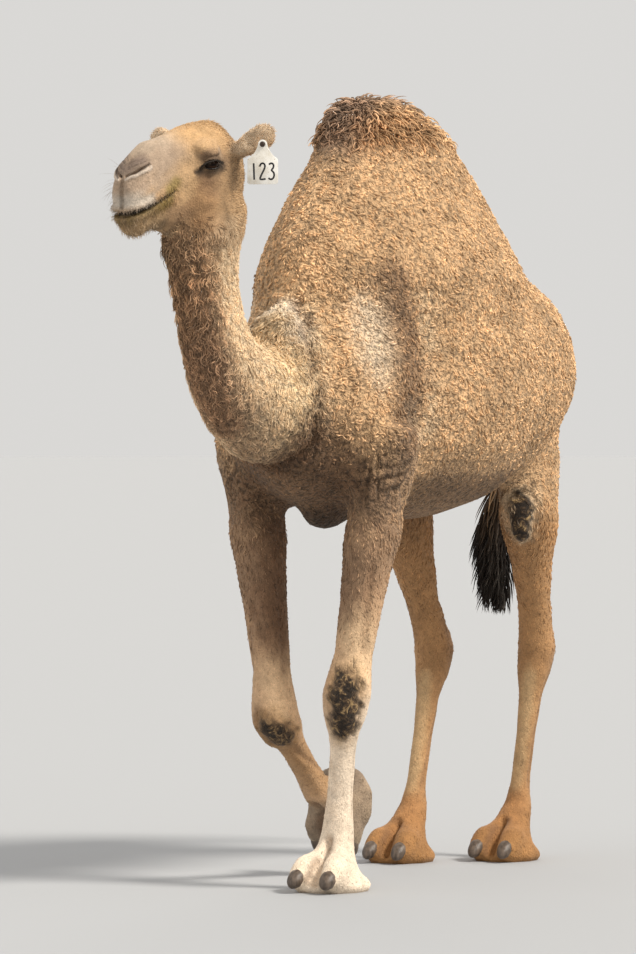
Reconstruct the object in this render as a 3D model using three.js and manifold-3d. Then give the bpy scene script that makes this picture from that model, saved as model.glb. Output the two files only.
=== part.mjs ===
// A dromedary camel, life size, in mid stride: three feet on the ground and the right forefoot lifted.
// Millimetres, +Z up, the animal faces -Y and its own left side is +X.
// Every soft part is a skin-over-muscle loft: closed rings along a spine, each ring a rounded oval.
// The flesh is joined to one body and then parted with thin flat cuts where the named parts meet.
import * as THREE from "three";
import { mergeVertices } from "three/addons/utils/BufferGeometryUtils.js";
import Module from "manifold-3d";

const wasm = await Module();
wasm.setup();

// ---------- driving sizes ----------
const gap = 0.5; // clear width of each parting cut
const humpTop = 2030; // crest of the hump, hair included
const bellyBottom = 902; // lowest line of the barrel
const barrelHalf = 338; // half of the greatest body width
const fetlockHeight = 140; // centre of a planted fetlock above its sole
const footHalfWidth = 102;
const footHalfLength = 108;
const eyeRadius = 21;
const tagPlace = [186, 74, 49]; // centre of the ear tag's stud, from the head's own origin
const tagTurn = 0.52; // radians that the tag's plate is turned to the animal's left
const standForward = 203; // the middle of the whole length comes to the origin

// The planes that part the flesh: a point on each, and the side that the outer piece lies on.
const humpCut = [[0, 0, 1640], [0, 0, 1]];
const headCut = [[-44, -915, 1606], [0, -0.36, 0.933]];
const throatCut = [[-28, -900, 1385], [0, -0.3, 1]];
const breastCut = [[0, -676, 1230], [0, -1, 0]];
const elbowCut = [[0, 0, 905], [0, 0, -1]];
const groinCut = [[0, 400, 936], [0, -0.12, -1]];
const tailCut = [[0, 746, 1260], [0, 1, 0]];
const tuftCut = [[-112, 798, 968], [0, 0, -1]];

const coatColour = 0xc79a66;
const paleCoat = 0xe2cba6;
const legColour = 0xb98a55;
const hornColour = 0x4a403a;
const tuftColour = 0x35241a;
const eyeColour = 0x120c08;
const tagColour = 0xf0ead6;

// ---------- small helpers ----------
const vec = (p) => new THREE.Vector3(...p);
const mirrored = (p, side) => [p[0] * side, p[1], p[2]];

// Smooth value between b and c of four numbers in a row (Catmull-Rom).
function smoothStep4(a, b, c, d, t) {
  const curve = 2 * b + (c - a) * t + (2 * a - 5 * b + 4 * c - d) * t * t;
  return (curve + (3 * b - a - 3 * c + d) * t * t * t) / 2;
}

// Adds in-between stations, so that a few named stations give a smooth form.
function refine(stations, steps) {
  const keys = ["side", "up", "down", "upRound", "downRound"];
  const out = [];
  const pick = (i) => stations[Math.min(Math.max(i, 0), stations.length - 1)];
  for (let i = 0; i < stations.length - 1; i++) {
    const four = [pick(i - 1), pick(i), pick(i + 1), pick(i + 2)];
    for (let k = 0; k < steps; k++) {
      const t = k / steps;
      const at = [0, 1, 2].map((n) => smoothStep4(...four.map((s) => s.at[n]), t));
      const made = { at };
      for (const key of keys) made[key] = smoothStep4(...four.map((s) => s[key] ?? 2), t);
      out.push(made);
    }
  }
  const last = stations[stations.length - 1];
  out.push({ upRound: 2, downRound: 2, ...last });
  return out;
}

// A closed loft. The ring at each station stands square to the spine, or to "facing" where that is
// given: "side" is its half width along the left direction, "up" and "down" its half depths, and
// "...Round" the oval's fullness (2 = ellipse).
function loft(stations, { sides = 16, steps = 2, left = [1, 0, 0], facing } = {}) {
  const rings = refine(stations, steps);
  const leftWish = vec(left);
  const points = [];
  rings.forEach((ring, i) => {
    const before = vec(rings[Math.max(i - 1, 0)].at);
    const after = vec(rings[Math.min(i + 1, rings.length - 1)].at);
    const along = facing ? vec(facing) : after.sub(before).normalize();
    const across = leftWish.clone().addScaledVector(along, -leftWish.dot(along)).normalize();
    const upward = new THREE.Vector3().crossVectors(along, across).normalize();
    for (let k = 0; k < sides; k++) {
      const turn = (2 * Math.PI * k) / sides;
      const [c, s] = [Math.cos(turn), Math.sin(turn)];
      const fullness = 2 / (s > 0 ? ring.upRound : ring.downRound);
      const depth = s > 0 ? ring.up : ring.down;
      const x = ring.side * Math.sign(c) * Math.abs(c) ** fullness;
      const y = depth * Math.sign(s) * Math.abs(s) ** fullness;
      points.push(vec(ring.at).addScaledVector(across, x).addScaledVector(upward, y));
    }
  });
  const first = points.length;
  points.push(vec(rings[0].at), vec(rings[rings.length - 1].at));
  const faces = [];
  for (let i = 0; i < rings.length - 1; i++) {
    for (let k = 0; k < sides; k++) {
      const [a, b] = [i * sides + k, i * sides + ((k + 1) % sides)];
      faces.push(a, b, b + sides, a, b + sides, a + sides);
    }
  }
  const end = (rings.length - 1) * sides;
  for (let k = 0; k < sides; k++) {
    const next = (k + 1) % sides;
    faces.push(first, next, k, first + 1, end + k, end + next);
  }
  const shape = new THREE.BufferGeometry().setFromPoints(points);
  shape.setIndex(faces);
  return solid(shape);
}

// A closed three.js geometry as a manifold solid, turned right side out if need be.
function solid(geometry) {
  const bare = new THREE.BufferGeometry();
  bare.setAttribute("position", geometry.getAttribute("position"));
  if (geometry.index) bare.setIndex(geometry.index);
  const merged = mergeVertices(bare, 1e-3);
  const corners = new Uint32Array(merged.index.array);
  const vertProperties = new Float32Array(merged.attributes.position.array);
  const build = () => new wasm.Manifold(new wasm.Mesh({ numProp: 3, vertProperties, triVerts: corners }));
  const made = build();
  if (made.volume() > 0) return made;
  for (let i = 0; i < corners.length; i += 3) {
    [corners[i], corners[i + 1]] = [corners[i + 1], corners[i]];
  }
  return build();
}

// The way back: a manifold solid as a three.js geometry.
function geometryOf(body) {
  const { vertProperties, triVerts } = body.getMesh();
  const shape = new THREE.BufferGeometry();
  shape.setAttribute("position", new THREE.Float32BufferAttribute(vertProperties, 3));
  shape.setIndex(new THREE.Uint32BufferAttribute(triVerts, 1));
  shape.computeVertexNormals();
  return shape;
}

const moved = (body, matrix) => solid(geometryOf(body).applyMatrix4(matrix));

// An egg of three half axes, turned about X (nod), Y (roll) and Z (yaw), in degrees.
function egg(at, half, { nod = 0, roll = 0, yaw = 0, detail = [8, 6] } = {}) {
  const turn = new THREE.Euler(...[nod, roll, yaw].map(THREE.MathUtils.degToRad), "ZYX");
  const place = new THREE.Matrix4().compose(
    vec(at),
    new THREE.Quaternion().setFromEuler(turn),
    vec(half),
  );
  return solid(new THREE.SphereGeometry(1, ...detail).applyMatrix4(place));
}

// Everything on the side of a plane through "at" that "away" points to: a big box laid against it.
function sideOf(at, away) {
  const big = 6000;
  const normal = vec(away).normalize();
  const turn = new THREE.Quaternion().setFromUnitVectors(new THREE.Vector3(0, 0, 1), normal);
  const centre = vec(at).addScaledVector(normal, big / 2);
  const place = new THREE.Matrix4().compose(centre, turn, vec([big, big, big]));
  return solid(new THREE.BoxGeometry(1, 1, 1).applyMatrix4(place));
}

// Parts a solid in two with a cut of the width "gap": [the part that "away" points to, the rest].
function part(body, at, away) {
  const half = vec(away).setLength(gap / 2);
  const ahead = sideOf(vec(at).add(half).toArray(), away);
  const behind = sideOf(vec(at).sub(half).toArray(), vec(away).negate().toArray());
  return [body.intersect(ahead), body.intersect(behind)];
}

const joined = (list) => list.reduce((sum, next) => sum.add(next));
const both = (make) => [make(-1), make(1)];

// ---------- trunk and hump ----------
// From breast to tail root: y, height of the back, of the belly and of the widest line, half width,
// and the fullness above and below that line.
const backline = [
  { y: -668, top: 1360, bottom: 1075, wide: 1200, half: 70, over: 2, under: 2 },
  { y: -640, top: 1440, bottom: 1010, wide: 1200, half: 132, over: 2, under: 2 },
  { y: -570, top: 1530, bottom: 968, wide: 1200, half: 182, over: 2.1, under: 2 },
  { y: -470, top: 1600, bottom: 940, wide: 1205, half: 222, over: 2.2, under: 2 },
  { y: -385, top: 1625, bottom: 922, wide: 1210, half: 252, over: 2.2, under: 2 },
  { y: -230, top: 1645, bottom: 904, wide: 1215, half: 296, over: 2.2, under: 2.05 },
  { y: -100, top: 1640, bottom: bellyBottom, wide: 1218, half: 324, over: 2.2, under: 2.1 },
  { y: 40, top: 1640, bottom: 908, wide: 1220, half: barrelHalf, over: 2.2, under: 2.15 },
  { y: 170, top: 1625, bottom: 928, wide: 1228, half: barrelHalf, over: 2.2, under: 2.15 },
  { y: 300, top: 1600, bottom: 966, wide: 1240, half: 322, over: 2.2, under: 2.1 },
  { y: 420, top: 1600, bottom: 1020, wide: 1265, half: 296, over: 2.2, under: 2 },
  { y: 530, top: 1560, bottom: 1062, wide: 1288, half: 260, over: 2.2, under: 2 },
  { y: 630, top: 1498, bottom: 1086, wide: 1292, half: 212, over: 2.2, under: 2 },
  { y: 705, top: 1420, bottom: 1130, wide: 1285, half: 150, over: 2.1, under: 2 },
  { y: 742, top: 1350, bottom: 1200, wide: 1275, half: 84, over: 2, under: 2 },
];

function barrel() {
  const stations = backline.map((s) => ({
    at: [0, s.y, s.wide],
    side: s.half,
    down: s.top - s.wide,
    up: s.wide - s.bottom,
    downRound: s.over,
    upRound: s.under,
  }));
  return loft(stations, { sides: 18, steps: 1, facing: [0, 1, 0] });
}

// The hump, from its broad foot inside the trunk to its crest: z, middle y, reach ahead of and behind
// it, and half width. Ahead it draws in to the ridge of the withers.
const humpLevels = [
  { z: 1300, y: -10, ahead: 500, behind: 470, half: 270 },
  { z: 1440, y: -20, ahead: 600, behind: 540, half: 304 },
  { z: 1540, y: -35, ahead: 570, behind: 530, half: 300 },
  { z: 1640, y: -56, ahead: 510, behind: 486, half: 260 },
  { z: 1740, y: -60, ahead: 430, behind: 432, half: 206 },
  { z: 1830, y: -60, ahead: 350, behind: 356, half: 160 },
  { z: 1910, y: -84, ahead: 278, behind: 280, half: 130 },
  { z: 1975, y: -128, ahead: 226, behind: 226, half: 98 },
  { z: 2014, y: -132, ahead: 170, behind: 170, half: 68 },
  { z: humpTop, y: -132, ahead: 96, behind: 96, half: 34 },
];

function humpForm() {
  const stations = humpLevels.map((s) => ({
    at: [0, s.y, s.z],
    side: s.half,
    up: s.behind,
    down: s.ahead,
    downRound: s.z < 1700 ? 1.8 : 2,
  }));
  return loft(stations, { sides: 18, steps: 1, facing: [0, 0, 1] });
}

// Shoulder blade and upper arm, haunch, and the leathery pad under the breast bone.
const shoulder = (side) => egg([side * 140, -452, 1200], [98, 165, 250], { nod: 14 });
const haunch = (side) => egg([side * 146, 462, 1262], [104, 175, 190], { nod: -18 });
const breastPad = () => egg([0, -400, 935], [58, 104, 52]);

// ---------- neck ----------
// "up" is the nape's side of the spine, "down" the throat's.
const neckLine = [
  { at: [0, -430, 1290], side: 150, up: 260, down: 190 },
  { at: [0, -600, 1238], side: 156, up: 232, down: 186 },
  { at: [-8, -745, 1222], side: 130, up: 172, down: 164 },
  { at: [-22, -862, 1300], side: 104, up: 122, down: 134 },
  { at: [-34, -918, 1432], side: 90, up: 100, down: 112 },
  { at: [-42, -930, 1545], side: 93, up: 102, down: 120 },
  { at: [-46, -918, 1640], side: 98, up: 106, down: 136 },
  { at: [-46, -890, 1720], side: 90, up: 90, down: 108 },
];
const neck = () => loft(neckLine, { sides: 14, steps: 2 });

// ---------- legs ----------
// Each list gives stations between two joints: how far along, half width, half depth ahead and behind.
const foreArm = [
  { share: -0.42, side: 84, ahead: 130, behind: 128 },
  { share: -0.14, side: 82, ahead: 112, behind: 118 },
  { share: 0.08, side: 77, ahead: 94, behind: 92 },
  { share: 0.26, side: 64, ahead: 76, behind: 70 },
  { share: 0.5, side: 55, ahead: 60, behind: 58 },
  { share: 0.76, side: 51, ahead: 53, behind: 51 },
  { share: 0.9, side: 57, ahead: 60, behind: 52 },
  { share: 1, side: 62, ahead: 67, behind: 56 },
];
const foreCannon = [
  { share: 0.12, side: 58, ahead: 64, behind: 50 },
  { share: 0.26, side: 43, ahead: 46, behind: 44 },
  { share: 0.42, side: 34, ahead: 36, behind: 40 },
  { share: 0.72, side: 33, ahead: 34, behind: 39 },
  { share: 0.9, side: 38, ahead: 39, behind: 45 },
  { share: 1.12, side: 43, ahead: 44, behind: 48 },
];
const thigh = [
  { share: 0.2, side: 74, ahead: 120, behind: 116 },
  { share: 0.65, side: 82, ahead: 142, behind: 134 },
];
const gaskin = [
  { share: 0, side: 82, ahead: 128, behind: 122 },
  { share: 0.18, side: 72, ahead: 100, behind: 94 },
  { share: 0.4, side: 54, ahead: 66, behind: 62 },
  { share: 0.66, side: 44, ahead: 46, behind: 52 },
  { share: 0.86, side: 45, ahead: 46, behind: 72 },
  { share: 1, side: 49, ahead: 52, behind: 74 },
];
const hindCannon = [
  { share: 0.14, side: 45, ahead: 48, behind: 56 },
  { share: 0.3, side: 33, ahead: 36, behind: 41 },
  { share: 0.52, side: 26, ahead: 29, behind: 34 },
  { share: 0.78, side: 26, ahead: 29, behind: 34 },
  { share: 0.92, side: 31, ahead: 34, behind: 37 },
  { share: 1.12, side: 40, ahead: 42, behind: 44 },
];

function bone(from, to, list) {
  return list.map(({ share, side, ahead, behind }) => ({
    at: vec(from).lerp(vec(to), share).toArray(),
    side,
    up: ahead,
    down: behind,
  }));
}

// The joints of the four legs in stride. "turn" is how far a foot is turned back from flat, and
// "cut" how far the plane that parts the foot from the shank is.
const legs = {
  foreleg_left: {
    elbow: [172, -442, 965],
    knee: [115, -495, 487],
    fetlock: [90, -500, fetlockHeight],
  },
  foreleg_right: {
    elbow: [-184, -430, 965],
    knee: [-92, -486, 425],
    fetlock: [-112, -232, 222],
    turn: 84,
    cut: 68,
  },
  hindleg_left: {
    hip: [150, 452, 1250],
    stifle: [156, 440, 965],
    hock: [95, 600, 556],
    fetlock: [56, 566, fetlockHeight],
  },
  hindleg_right: {
    hip: [-150, 412, 1250],
    stifle: [-172, 322, 956],
    hock: [-156, 494, 550],
    fetlock: [-164, 384, fetlockHeight],
  },
};

function leg({ elbow, knee, hip, stifle, hock, fetlock }) {
  const stations = elbow
    ? [...bone(elbow, knee, foreArm), ...bone(knee, fetlock, foreCannon)]
    : [
        ...bone(hip, stifle, thigh),
        ...bone(stifle, hock, gaskin),
        ...bone(hock, fetlock, hindCannon),
      ];
  return loft(stations, { sides: 12, steps: 1 });
}

// The callus on the front of a hind leg's stifle, which the animal kneels on.
function stiflePad([x, y, z], side) {
  return egg([x + side * 20, y - 78, z - 45], [30, 34, 75]);
}

// The direction up a leg that leans back by so many degrees.
function upward(degrees) {
  const lean = THREE.MathUtils.degToRad(degrees);
  return [0, -Math.sin(lean), Math.cos(lean)];
}

// ---------- feet ----------
// Built as planted, about the fetlock's centre: two toes over one broad cushion with a flat tread.
const toeSpread = 44; // centre of each toe from the foot's middle line
const hindFootSize = 0.94; // a hind foot is a little smaller than a forefoot
const hindFootReach = 48; // and reaches further ahead of its fetlock
const tread = -fetlockHeight;

// A foot reaches ahead of its fetlock by "reach" at the level of the tread.
const reached = (at, reach) => [at[0], at[1] + (reach * at[2]) / fetlockHeight, at[2]];
const leaned = (stations, reach) => stations.map((s) => ({ ...s, at: reached(s.at, reach) }));

function toe(side, reach) {
  const stations = [
    { at: [side * 26, -30, -62], side: 30, up: 34, down: 34 },
    { at: [side * 34, -66, -80], side: 37, up: 37, down: 44 },
    { at: [side * toeSpread, -100, -98], side: 38, up: 33, down: 42 },
    { at: [side * (toeSpread + 3), -124, -112], side: 31, up: 24, down: 30 },
    { at: [side * (toeSpread + 4), -136, -120], side: 16, up: 12, down: 14 },
  ];
  return loft(leaned(stations, reach), { sides: 7, steps: 1 });
}

function foot(reach) {
  const pastern = [
    { at: [0, 0, 30], side: 40, up: 42, down: 44 },
    { at: [0, 0, -8], side: 44, up: 45, down: 48 },
    { at: [0, -8, -40], side: 50, up: 50, down: 50 },
    { at: [0, -20, -72], side: 66, up: 64, down: 58 },
    { at: [0, -26, -100], side: 84, up: 78, down: 70 },
    { at: [0, -28, -122], side: 88, up: 84, down: 78 },
  ];
  const column = loft(leaned(pastern, reach), { sides: 9, steps: 1 });
  const middle = reached([0, -24, tread + 14], reach);
  const cushion = egg(middle, [footHalfWidth, footHalfLength, 40], { detail: [12, 5] });
  const toes = both((side) => toe(side, reach));
  return joined([column, cushion, ...toes]).intersect(sideOf([0, 0, tread], [0, 0, 1]));
}

// A toenail: a short curved horn cap on the front of the toe, with the toe's pad under it.
// "room" is the clear width that the toe leaves round it.
function nail(side, reach, room = 0) {
  const stations = [
    { at: [side * toeSpread, -100 + room, -97], side: 21, up: 20, down: 22 },
    { at: [side * (toeSpread + 1), -124, -101], side: 23, up: 21, down: 24 },
    { at: [side * (toeSpread + 2), -143, -111], side: 17, up: 14, down: 17 },
    { at: [side * (toeSpread + 2), -152 - room, -120], side: 7, up: 5, down: 8 },
  ];
  const grown = leaned(stations, reach).map((s) => ({
    at: s.at,
    side: s.side + room,
    up: s.up + room,
    down: s.down + room,
  }));
  return loft(grown, { sides: 6, steps: 1 });
}

// ---------- head ----------
// The head is drawn in its own frame: x to the animal's left, y back from the eyes, z up from them.
const headPlace = [-60, -1000, 1796];
const headYaw = THREE.MathUtils.degToRad(-10); // the face is turned a little to the animal's right

// From the back of the skull to the lips: y, top and bottom, widest line, half width, fullnesses.
const skull = [
  { y: 160, top: 36, bottom: -110, wide: -30, half: 56, over: 2, under: 2 },
  { y: 132, top: 84, bottom: -150, wide: -16, half: 84, over: 2.1, under: 2 },
  { y: 88, top: 111, bottom: -166, wide: 0, half: 90, over: 2.1, under: 1.9 },
  { y: 36, top: 109, bottom: -172, wide: 4, half: 88, over: 2.1, under: 1.8 },
  { y: -16, top: 96, bottom: -174, wide: -2, half: 80, over: 2.1, under: 1.8 },
  { y: -70, top: 76, bottom: -172, wide: -24, half: 66, over: 2.1, under: 1.9 },
  { y: -112, top: 64, bottom: -162, wide: -40, half: 59, over: 2.1, under: 2.1 },
  { y: -150, top: 56, bottom: -164, wide: -52, half: 56, over: 2.2, under: 2.3 },
  { y: -184, top: 30, bottom: -179, wide: -64, half: 54, over: 2.2, under: 2.3 },
  { y: -206, top: 6, bottom: -177, wide: -76, half: 49, over: 2.2, under: 2.3 },
  { y: -221, top: -16, bottom: -150, wide: -82, half: 41, over: 2.2, under: 2.3 },
  { y: -231, top: -44, bottom: -124, wide: -88, half: 28, over: 2, under: 2 },
];
const mouthCorner = [0, -104, -70]; // where the lips end at the back
const mouthFall = [0, 0.45, -1]; // square to the cut between the lips, pointing down
const mouthAhead = [0, -1, 0.1]; // square to the back of that cut, pointing forward

function profile(list, sides) {
  const stations = list.map((s) => ({
    at: [0, s.y, s.wide],
    side: s.half,
    up: s.top - s.wide,
    down: s.wide - s.bottom,
    upRound: s.over,
    downRound: s.under,
  }));
  return loft(stations, { sides, steps: 1, facing: [0, -1, 0] });
}

const brow = (side) => egg([side * 66, 6, 42], [30, 52, 24], { yaw: side * 8 });
const cheek = (side) => egg([side * 46, 34, -92], [39, 84, 68]);
const nostril = (side) => egg([side * 30, -186, -18], [22, 30, 23], { yaw: side * -24 });
const eyeBall = (side, room = 0) =>
  egg([side * 78, 5, 0], Array(3).fill(eyeRadius + room), { detail: [10, 7] });

// The wedge between the lips and below, moved back and up by "room".
function mouthWedge(room) {
  const [fall, ahead] = [vec(mouthFall).setLength(-room), vec(mouthAhead).setLength(-room)];
  const below = sideOf(vec(mouthCorner).add(fall).toArray(), mouthFall);
  return below.intersect(sideOf(vec(mouthCorner).add(ahead).toArray(), mouthAhead));
}

// The ear is a short rounded cup on a narrow root, held out to the side and open to the front.
const earLine = [
  { at: [76, 86, 26], tall: 22, ahead: 18, behind: 18 },
  { at: [106, 92, 42], tall: 24, ahead: 18, behind: 20 },
  { at: [135, 98, 57], tall: 32, ahead: 17, behind: 22 },
  { at: [163, 102, 69], tall: 36, ahead: 13, behind: 19 },
  { at: [184, 104, 77], tall: 29, ahead: 8, behind: 12 },
  { at: [195, 105, 82], tall: 13, ahead: 4, behind: 6 },
];

// Ahead of an ear that points left is its loft's upper side, and ahead of the other is the lower one.
function ear(side) {
  const stations = earLine.map(({ at, tall, ahead, behind }) => ({
    at: mirrored(at, side),
    side: tall,
    up: side > 0 ? ahead : behind,
    down: side > 0 ? behind : ahead,
  }));
  const outer = loft(stations, { sides: 9, steps: 1, left: [0, 0, 1] });
  const cup = egg([side * 152, 80, 65], [36, 19, 24], { roll: side * -24, detail: [9, 5] });
  return part(outer.subtract(cup), mirrored([104, 92, 42], side), [side * 0.85, 0.1, 0.5]);
}

// ---------- ear tag ----------
const tagWidth = 75;
const tagHeight = 108;
const tagThickness = 2.4;
const tagCorner = 7;
const eyeletRadius = 11; // the rounded neck round the stud
const studRadius = 7;
const pinRadius = 3;

// A livestock tag: a plate with rounded corners, sloped shoulders and a round eyelet at the top.
// Its own frame: x across, y up from the stud's centre, z out of the plate.
function tagPlate() {
  const half = tagWidth / 2;
  const low = eyeletRadius - tagHeight;
  const shoulderLine = low + tagHeight * 0.58;
  const neckHalf = eyeletRadius + 5;
  const neckLow = shoulderLine + 14;
  const outline = new THREE.Shape();
  outline.moveTo(-half + tagCorner, low);
  outline.lineTo(half - tagCorner, low);
  outline.quadraticCurveTo(half, low, half, low + tagCorner);
  outline.lineTo(half, shoulderLine - tagCorner);
  outline.quadraticCurveTo(half, shoulderLine, half - tagCorner, shoulderLine + 3);
  outline.quadraticCurveTo(neckHalf, neckLow, eyeletRadius, 0);
  outline.absarc(0, 0, eyeletRadius, 0, Math.PI, false);
  outline.quadraticCurveTo(-neckHalf, neckLow, -half + tagCorner, shoulderLine + 3);
  outline.quadraticCurveTo(-half, shoulderLine, -half, shoulderLine - tagCorner);
  outline.lineTo(-half, low + tagCorner);
  outline.quadraticCurveTo(-half, low, -half + tagCorner, low);
  const eyelet = new THREE.Path().absarc(0, 0, pinRadius + gap, 0, 2 * Math.PI, true);
  outline.holes.push(eyelet);
  return new THREE.ExtrudeGeometry(outline, {
    depth: tagThickness,
    bevelEnabled: false,
    curveSegments: 4,
  });
}

// The stud: a domed button in front of the plate, on a pin that runs back through the eyelet.
function tagStud() {
  const dome = 5;
  const reach = 9;
  const outline = [
    [0, -reach],
    [pinRadius, -reach],
    [pinRadius, tagThickness + gap],
    [studRadius, tagThickness + gap],
    [studRadius, tagThickness + 2],
    [studRadius * 0.6, tagThickness + dome],
    [0, tagThickness + dome],
  ];
  const lathe = new THREE.LatheGeometry(outline.map((p) => new THREE.Vector2(...p)), 12);
  return lathe.rotateX(Math.PI / 2);
}

// ---------- tail ----------
const tailLine = [
  { at: [0, 690, 1292], side: 40, up: 30, down: 30 },
  { at: [-8, 762, 1250], side: 36, up: 27, down: 27 },
  { at: [-44, 796, 1150], side: 30, up: 24, down: 24 },
  { at: [-88, 800, 1030], side: 30, up: 22, down: 22 },
  { at: [-120, 798, 950], side: 40, up: 28, down: 28 },
  { at: [-134, 796, 860], side: 54, up: 32, down: 32 },
  { at: [-126, 792, 760], side: 50, up: 30, down: 30 },
  { at: [-104, 790, 680], side: 30, up: 18, down: 18 },
  { at: [-92, 788, 640], side: 8, up: 6, down: 6 },
];

// ---------- the named parts ----------
const camel = new THREE.Group();
const flesh = { color: coatColour, roughness: 0.9 };
const shank = { color: legColour, roughness: 0.9 };
const horn = { color: hornColour, roughness: 0.45 };

function add(group, name, shape, finish) {
  const geometry = shape.isBufferGeometry ? shape : geometryOf(shape);
  const mesh = new THREE.Mesh(geometry, new THREE.MeshStandardMaterial({ metalness: 0, ...finish }));
  mesh.name = name;
  group.add(mesh);
}

function addHead(neckTop) {
  const group = new THREE.Group();
  group.position.set(...headPlace);
  group.rotation.z = headYaw;
  group.updateMatrix();
  camel.add(group);

  const ears = { left: ear(1), right: ear(-1) };
  const face = joined([profile(skull, 14), ...both(brow), ...both(cheek), ...both(nostril)]);
  const nape = moved(neckTop, group.matrix.clone().invert());
  const whole = joined([face, nape, ears.left[1], ears.right[1]]);
  const socketed = whole.subtract(eyeBall(1, gap)).subtract(eyeBall(-1, gap));
  add(group, "head", socketed.subtract(mouthWedge(gap / 2)), flesh);
  add(group, "lower_jaw", socketed.intersect(mouthWedge(-gap / 2)), flesh);
  add(group, "ear_left", ears.left[0], flesh);
  add(group, "ear_right", ears.right[0], flesh);
  add(group, "eye_left", eyeBall(1), { color: eyeColour, roughness: 0.12 });
  add(group, "eye_right", eyeBall(-1), { color: eyeColour, roughness: 0.12 });

  const tag = new THREE.Group();
  tag.position.set(...tagPlace);
  tag.rotation.set(Math.PI / 2, tagTurn, 0);
  group.add(tag);
  add(tag, "ear_tag", tagPlate(), { color: tagColour, roughness: 0.5 });
  add(tag, "ear_tag_stud", tagStud(), { color: tagColour, roughness: 0.4 });
}

function addNeck(body) {
  const [upper, lower] = part(body, ...throatCut);
  add(camel, "neck_upper", upper, flesh);
  add(camel, "neck_lower", lower, flesh);
}

// Adds a leg, its foot and its two toenails, and returns the top of the leg, which the trunk takes in.
function addLeg(name, joints) {
  const { elbow, stifle, fetlock, turn = 0, cut = 0 } = joints;
  const [end, side] = name.split("leg_");
  const outer = side === "left" ? 1 : -1;
  const [lower, upper] = elbow
    ? part(leg(joints), ...elbowCut)
    : part(leg(joints).add(stiflePad(stifle, outer)), ...groinCut);
  const [shankPart] = part(lower, fetlock, upward(cut));
  add(camel, name, shankPart, shank);

  const ankle = new THREE.Group();
  ankle.position.set(...fetlock);
  ankle.rotation.x = THREE.MathUtils.degToRad(turn);
  if (stifle) ankle.scale.set(hindFootSize, hindFootSize, 1);
  camel.add(ankle);
  const reach = elbow ? 0 : hindFootReach;
  const [, heel] = part(foot(reach), [0, 0, 0], upward(cut - turn));
  const bare = heel.subtract(nail(-1, reach, gap)).subtract(nail(1, reach, gap));
  add(ankle, `${end}foot_${side}`, bare, { color: paleCoat, roughness: 0.9 });
  add(ankle, `toenail_${end}_${side}_outer`, nail(outer, reach), horn);
  add(ankle, `toenail_${end}_${side}_inner`, nail(-outer, reach), horn);
  return upper;
}

// Adds the tail and its tuft, and returns the root that the trunk takes in.
function addTail() {
  const [tail, root] = part(loft(tailLine, { sides: 8, steps: 1 }), ...tailCut);
  const [tuft, dock] = part(tail, ...tuftCut);
  add(camel, "tail", dock, flesh);
  add(camel, "tail_tuft", tuft, { color: tuftColour, roughness: 0.95 });
  return root;
}

function addTrunk(roots) {
  const body = joined([barrel(), humpForm(), breastPad(), ...both(shoulder), ...both(haunch), ...roots]);
  const [hump, trunk] = part(body, ...humpCut);
  add(camel, "trunk", trunk, flesh);
  add(camel, "hump", hump, flesh);
}

const [neckTop, neckRest] = part(neck(), ...headCut);
const [neckBody, neckRoot] = part(neckRest, ...breastCut);
addHead(neckTop);
addNeck(neckBody);
const legTops = Object.entries(legs).map(([name, joints]) => addLeg(name, joints));
addTrunk([neckRoot, ...legTops, addTail()]);

camel.position.y = standForward;
export default camel;
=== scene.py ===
# %% [markdown]
# # A dromedary camel in mid stride
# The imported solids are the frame: they fix where every part of the animal is and how far it reaches,
# tips of the coat included. This lesson dresses them. One skin takes the place of all the parts of
# flesh, the coat is grown over it as solid locks, and the eyes, nails and ear tag stay separate.

# %% Load the frame
import math

import bpy
import numpy as np
from mathutils import Matrix, Vector, kdtree


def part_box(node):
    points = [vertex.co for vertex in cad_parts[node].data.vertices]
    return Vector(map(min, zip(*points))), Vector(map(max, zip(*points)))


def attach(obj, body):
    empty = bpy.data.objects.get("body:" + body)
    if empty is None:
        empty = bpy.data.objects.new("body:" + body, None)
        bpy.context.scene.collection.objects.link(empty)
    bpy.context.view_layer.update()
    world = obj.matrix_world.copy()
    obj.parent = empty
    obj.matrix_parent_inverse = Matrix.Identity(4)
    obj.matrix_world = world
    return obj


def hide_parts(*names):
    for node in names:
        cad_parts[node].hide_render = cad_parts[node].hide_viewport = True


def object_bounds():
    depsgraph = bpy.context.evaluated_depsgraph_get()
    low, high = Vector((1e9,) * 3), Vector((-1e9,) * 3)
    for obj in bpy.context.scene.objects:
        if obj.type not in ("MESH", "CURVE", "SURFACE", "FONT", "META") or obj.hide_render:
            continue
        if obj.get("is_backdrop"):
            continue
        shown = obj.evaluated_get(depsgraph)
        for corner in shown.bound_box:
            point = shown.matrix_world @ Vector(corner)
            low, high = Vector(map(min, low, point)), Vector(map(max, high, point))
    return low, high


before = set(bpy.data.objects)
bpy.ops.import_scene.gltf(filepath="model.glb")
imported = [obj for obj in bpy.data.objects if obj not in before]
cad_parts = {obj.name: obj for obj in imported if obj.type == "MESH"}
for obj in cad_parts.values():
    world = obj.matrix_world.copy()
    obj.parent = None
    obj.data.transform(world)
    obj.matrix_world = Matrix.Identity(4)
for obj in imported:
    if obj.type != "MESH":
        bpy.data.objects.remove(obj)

cad_low, cad_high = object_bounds()
print("solids reach from", tuple(cad_low), "to", tuple(cad_high))

# %% [markdown]
# # Camera
# A long lens from about fourteen metres keeps the animal's proportions. The lens looks almost level
# from breast height, from the animal's left front, so the camera is turned about the vertical and
# tipped down by about a degree. Depth of field stays off.

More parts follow.
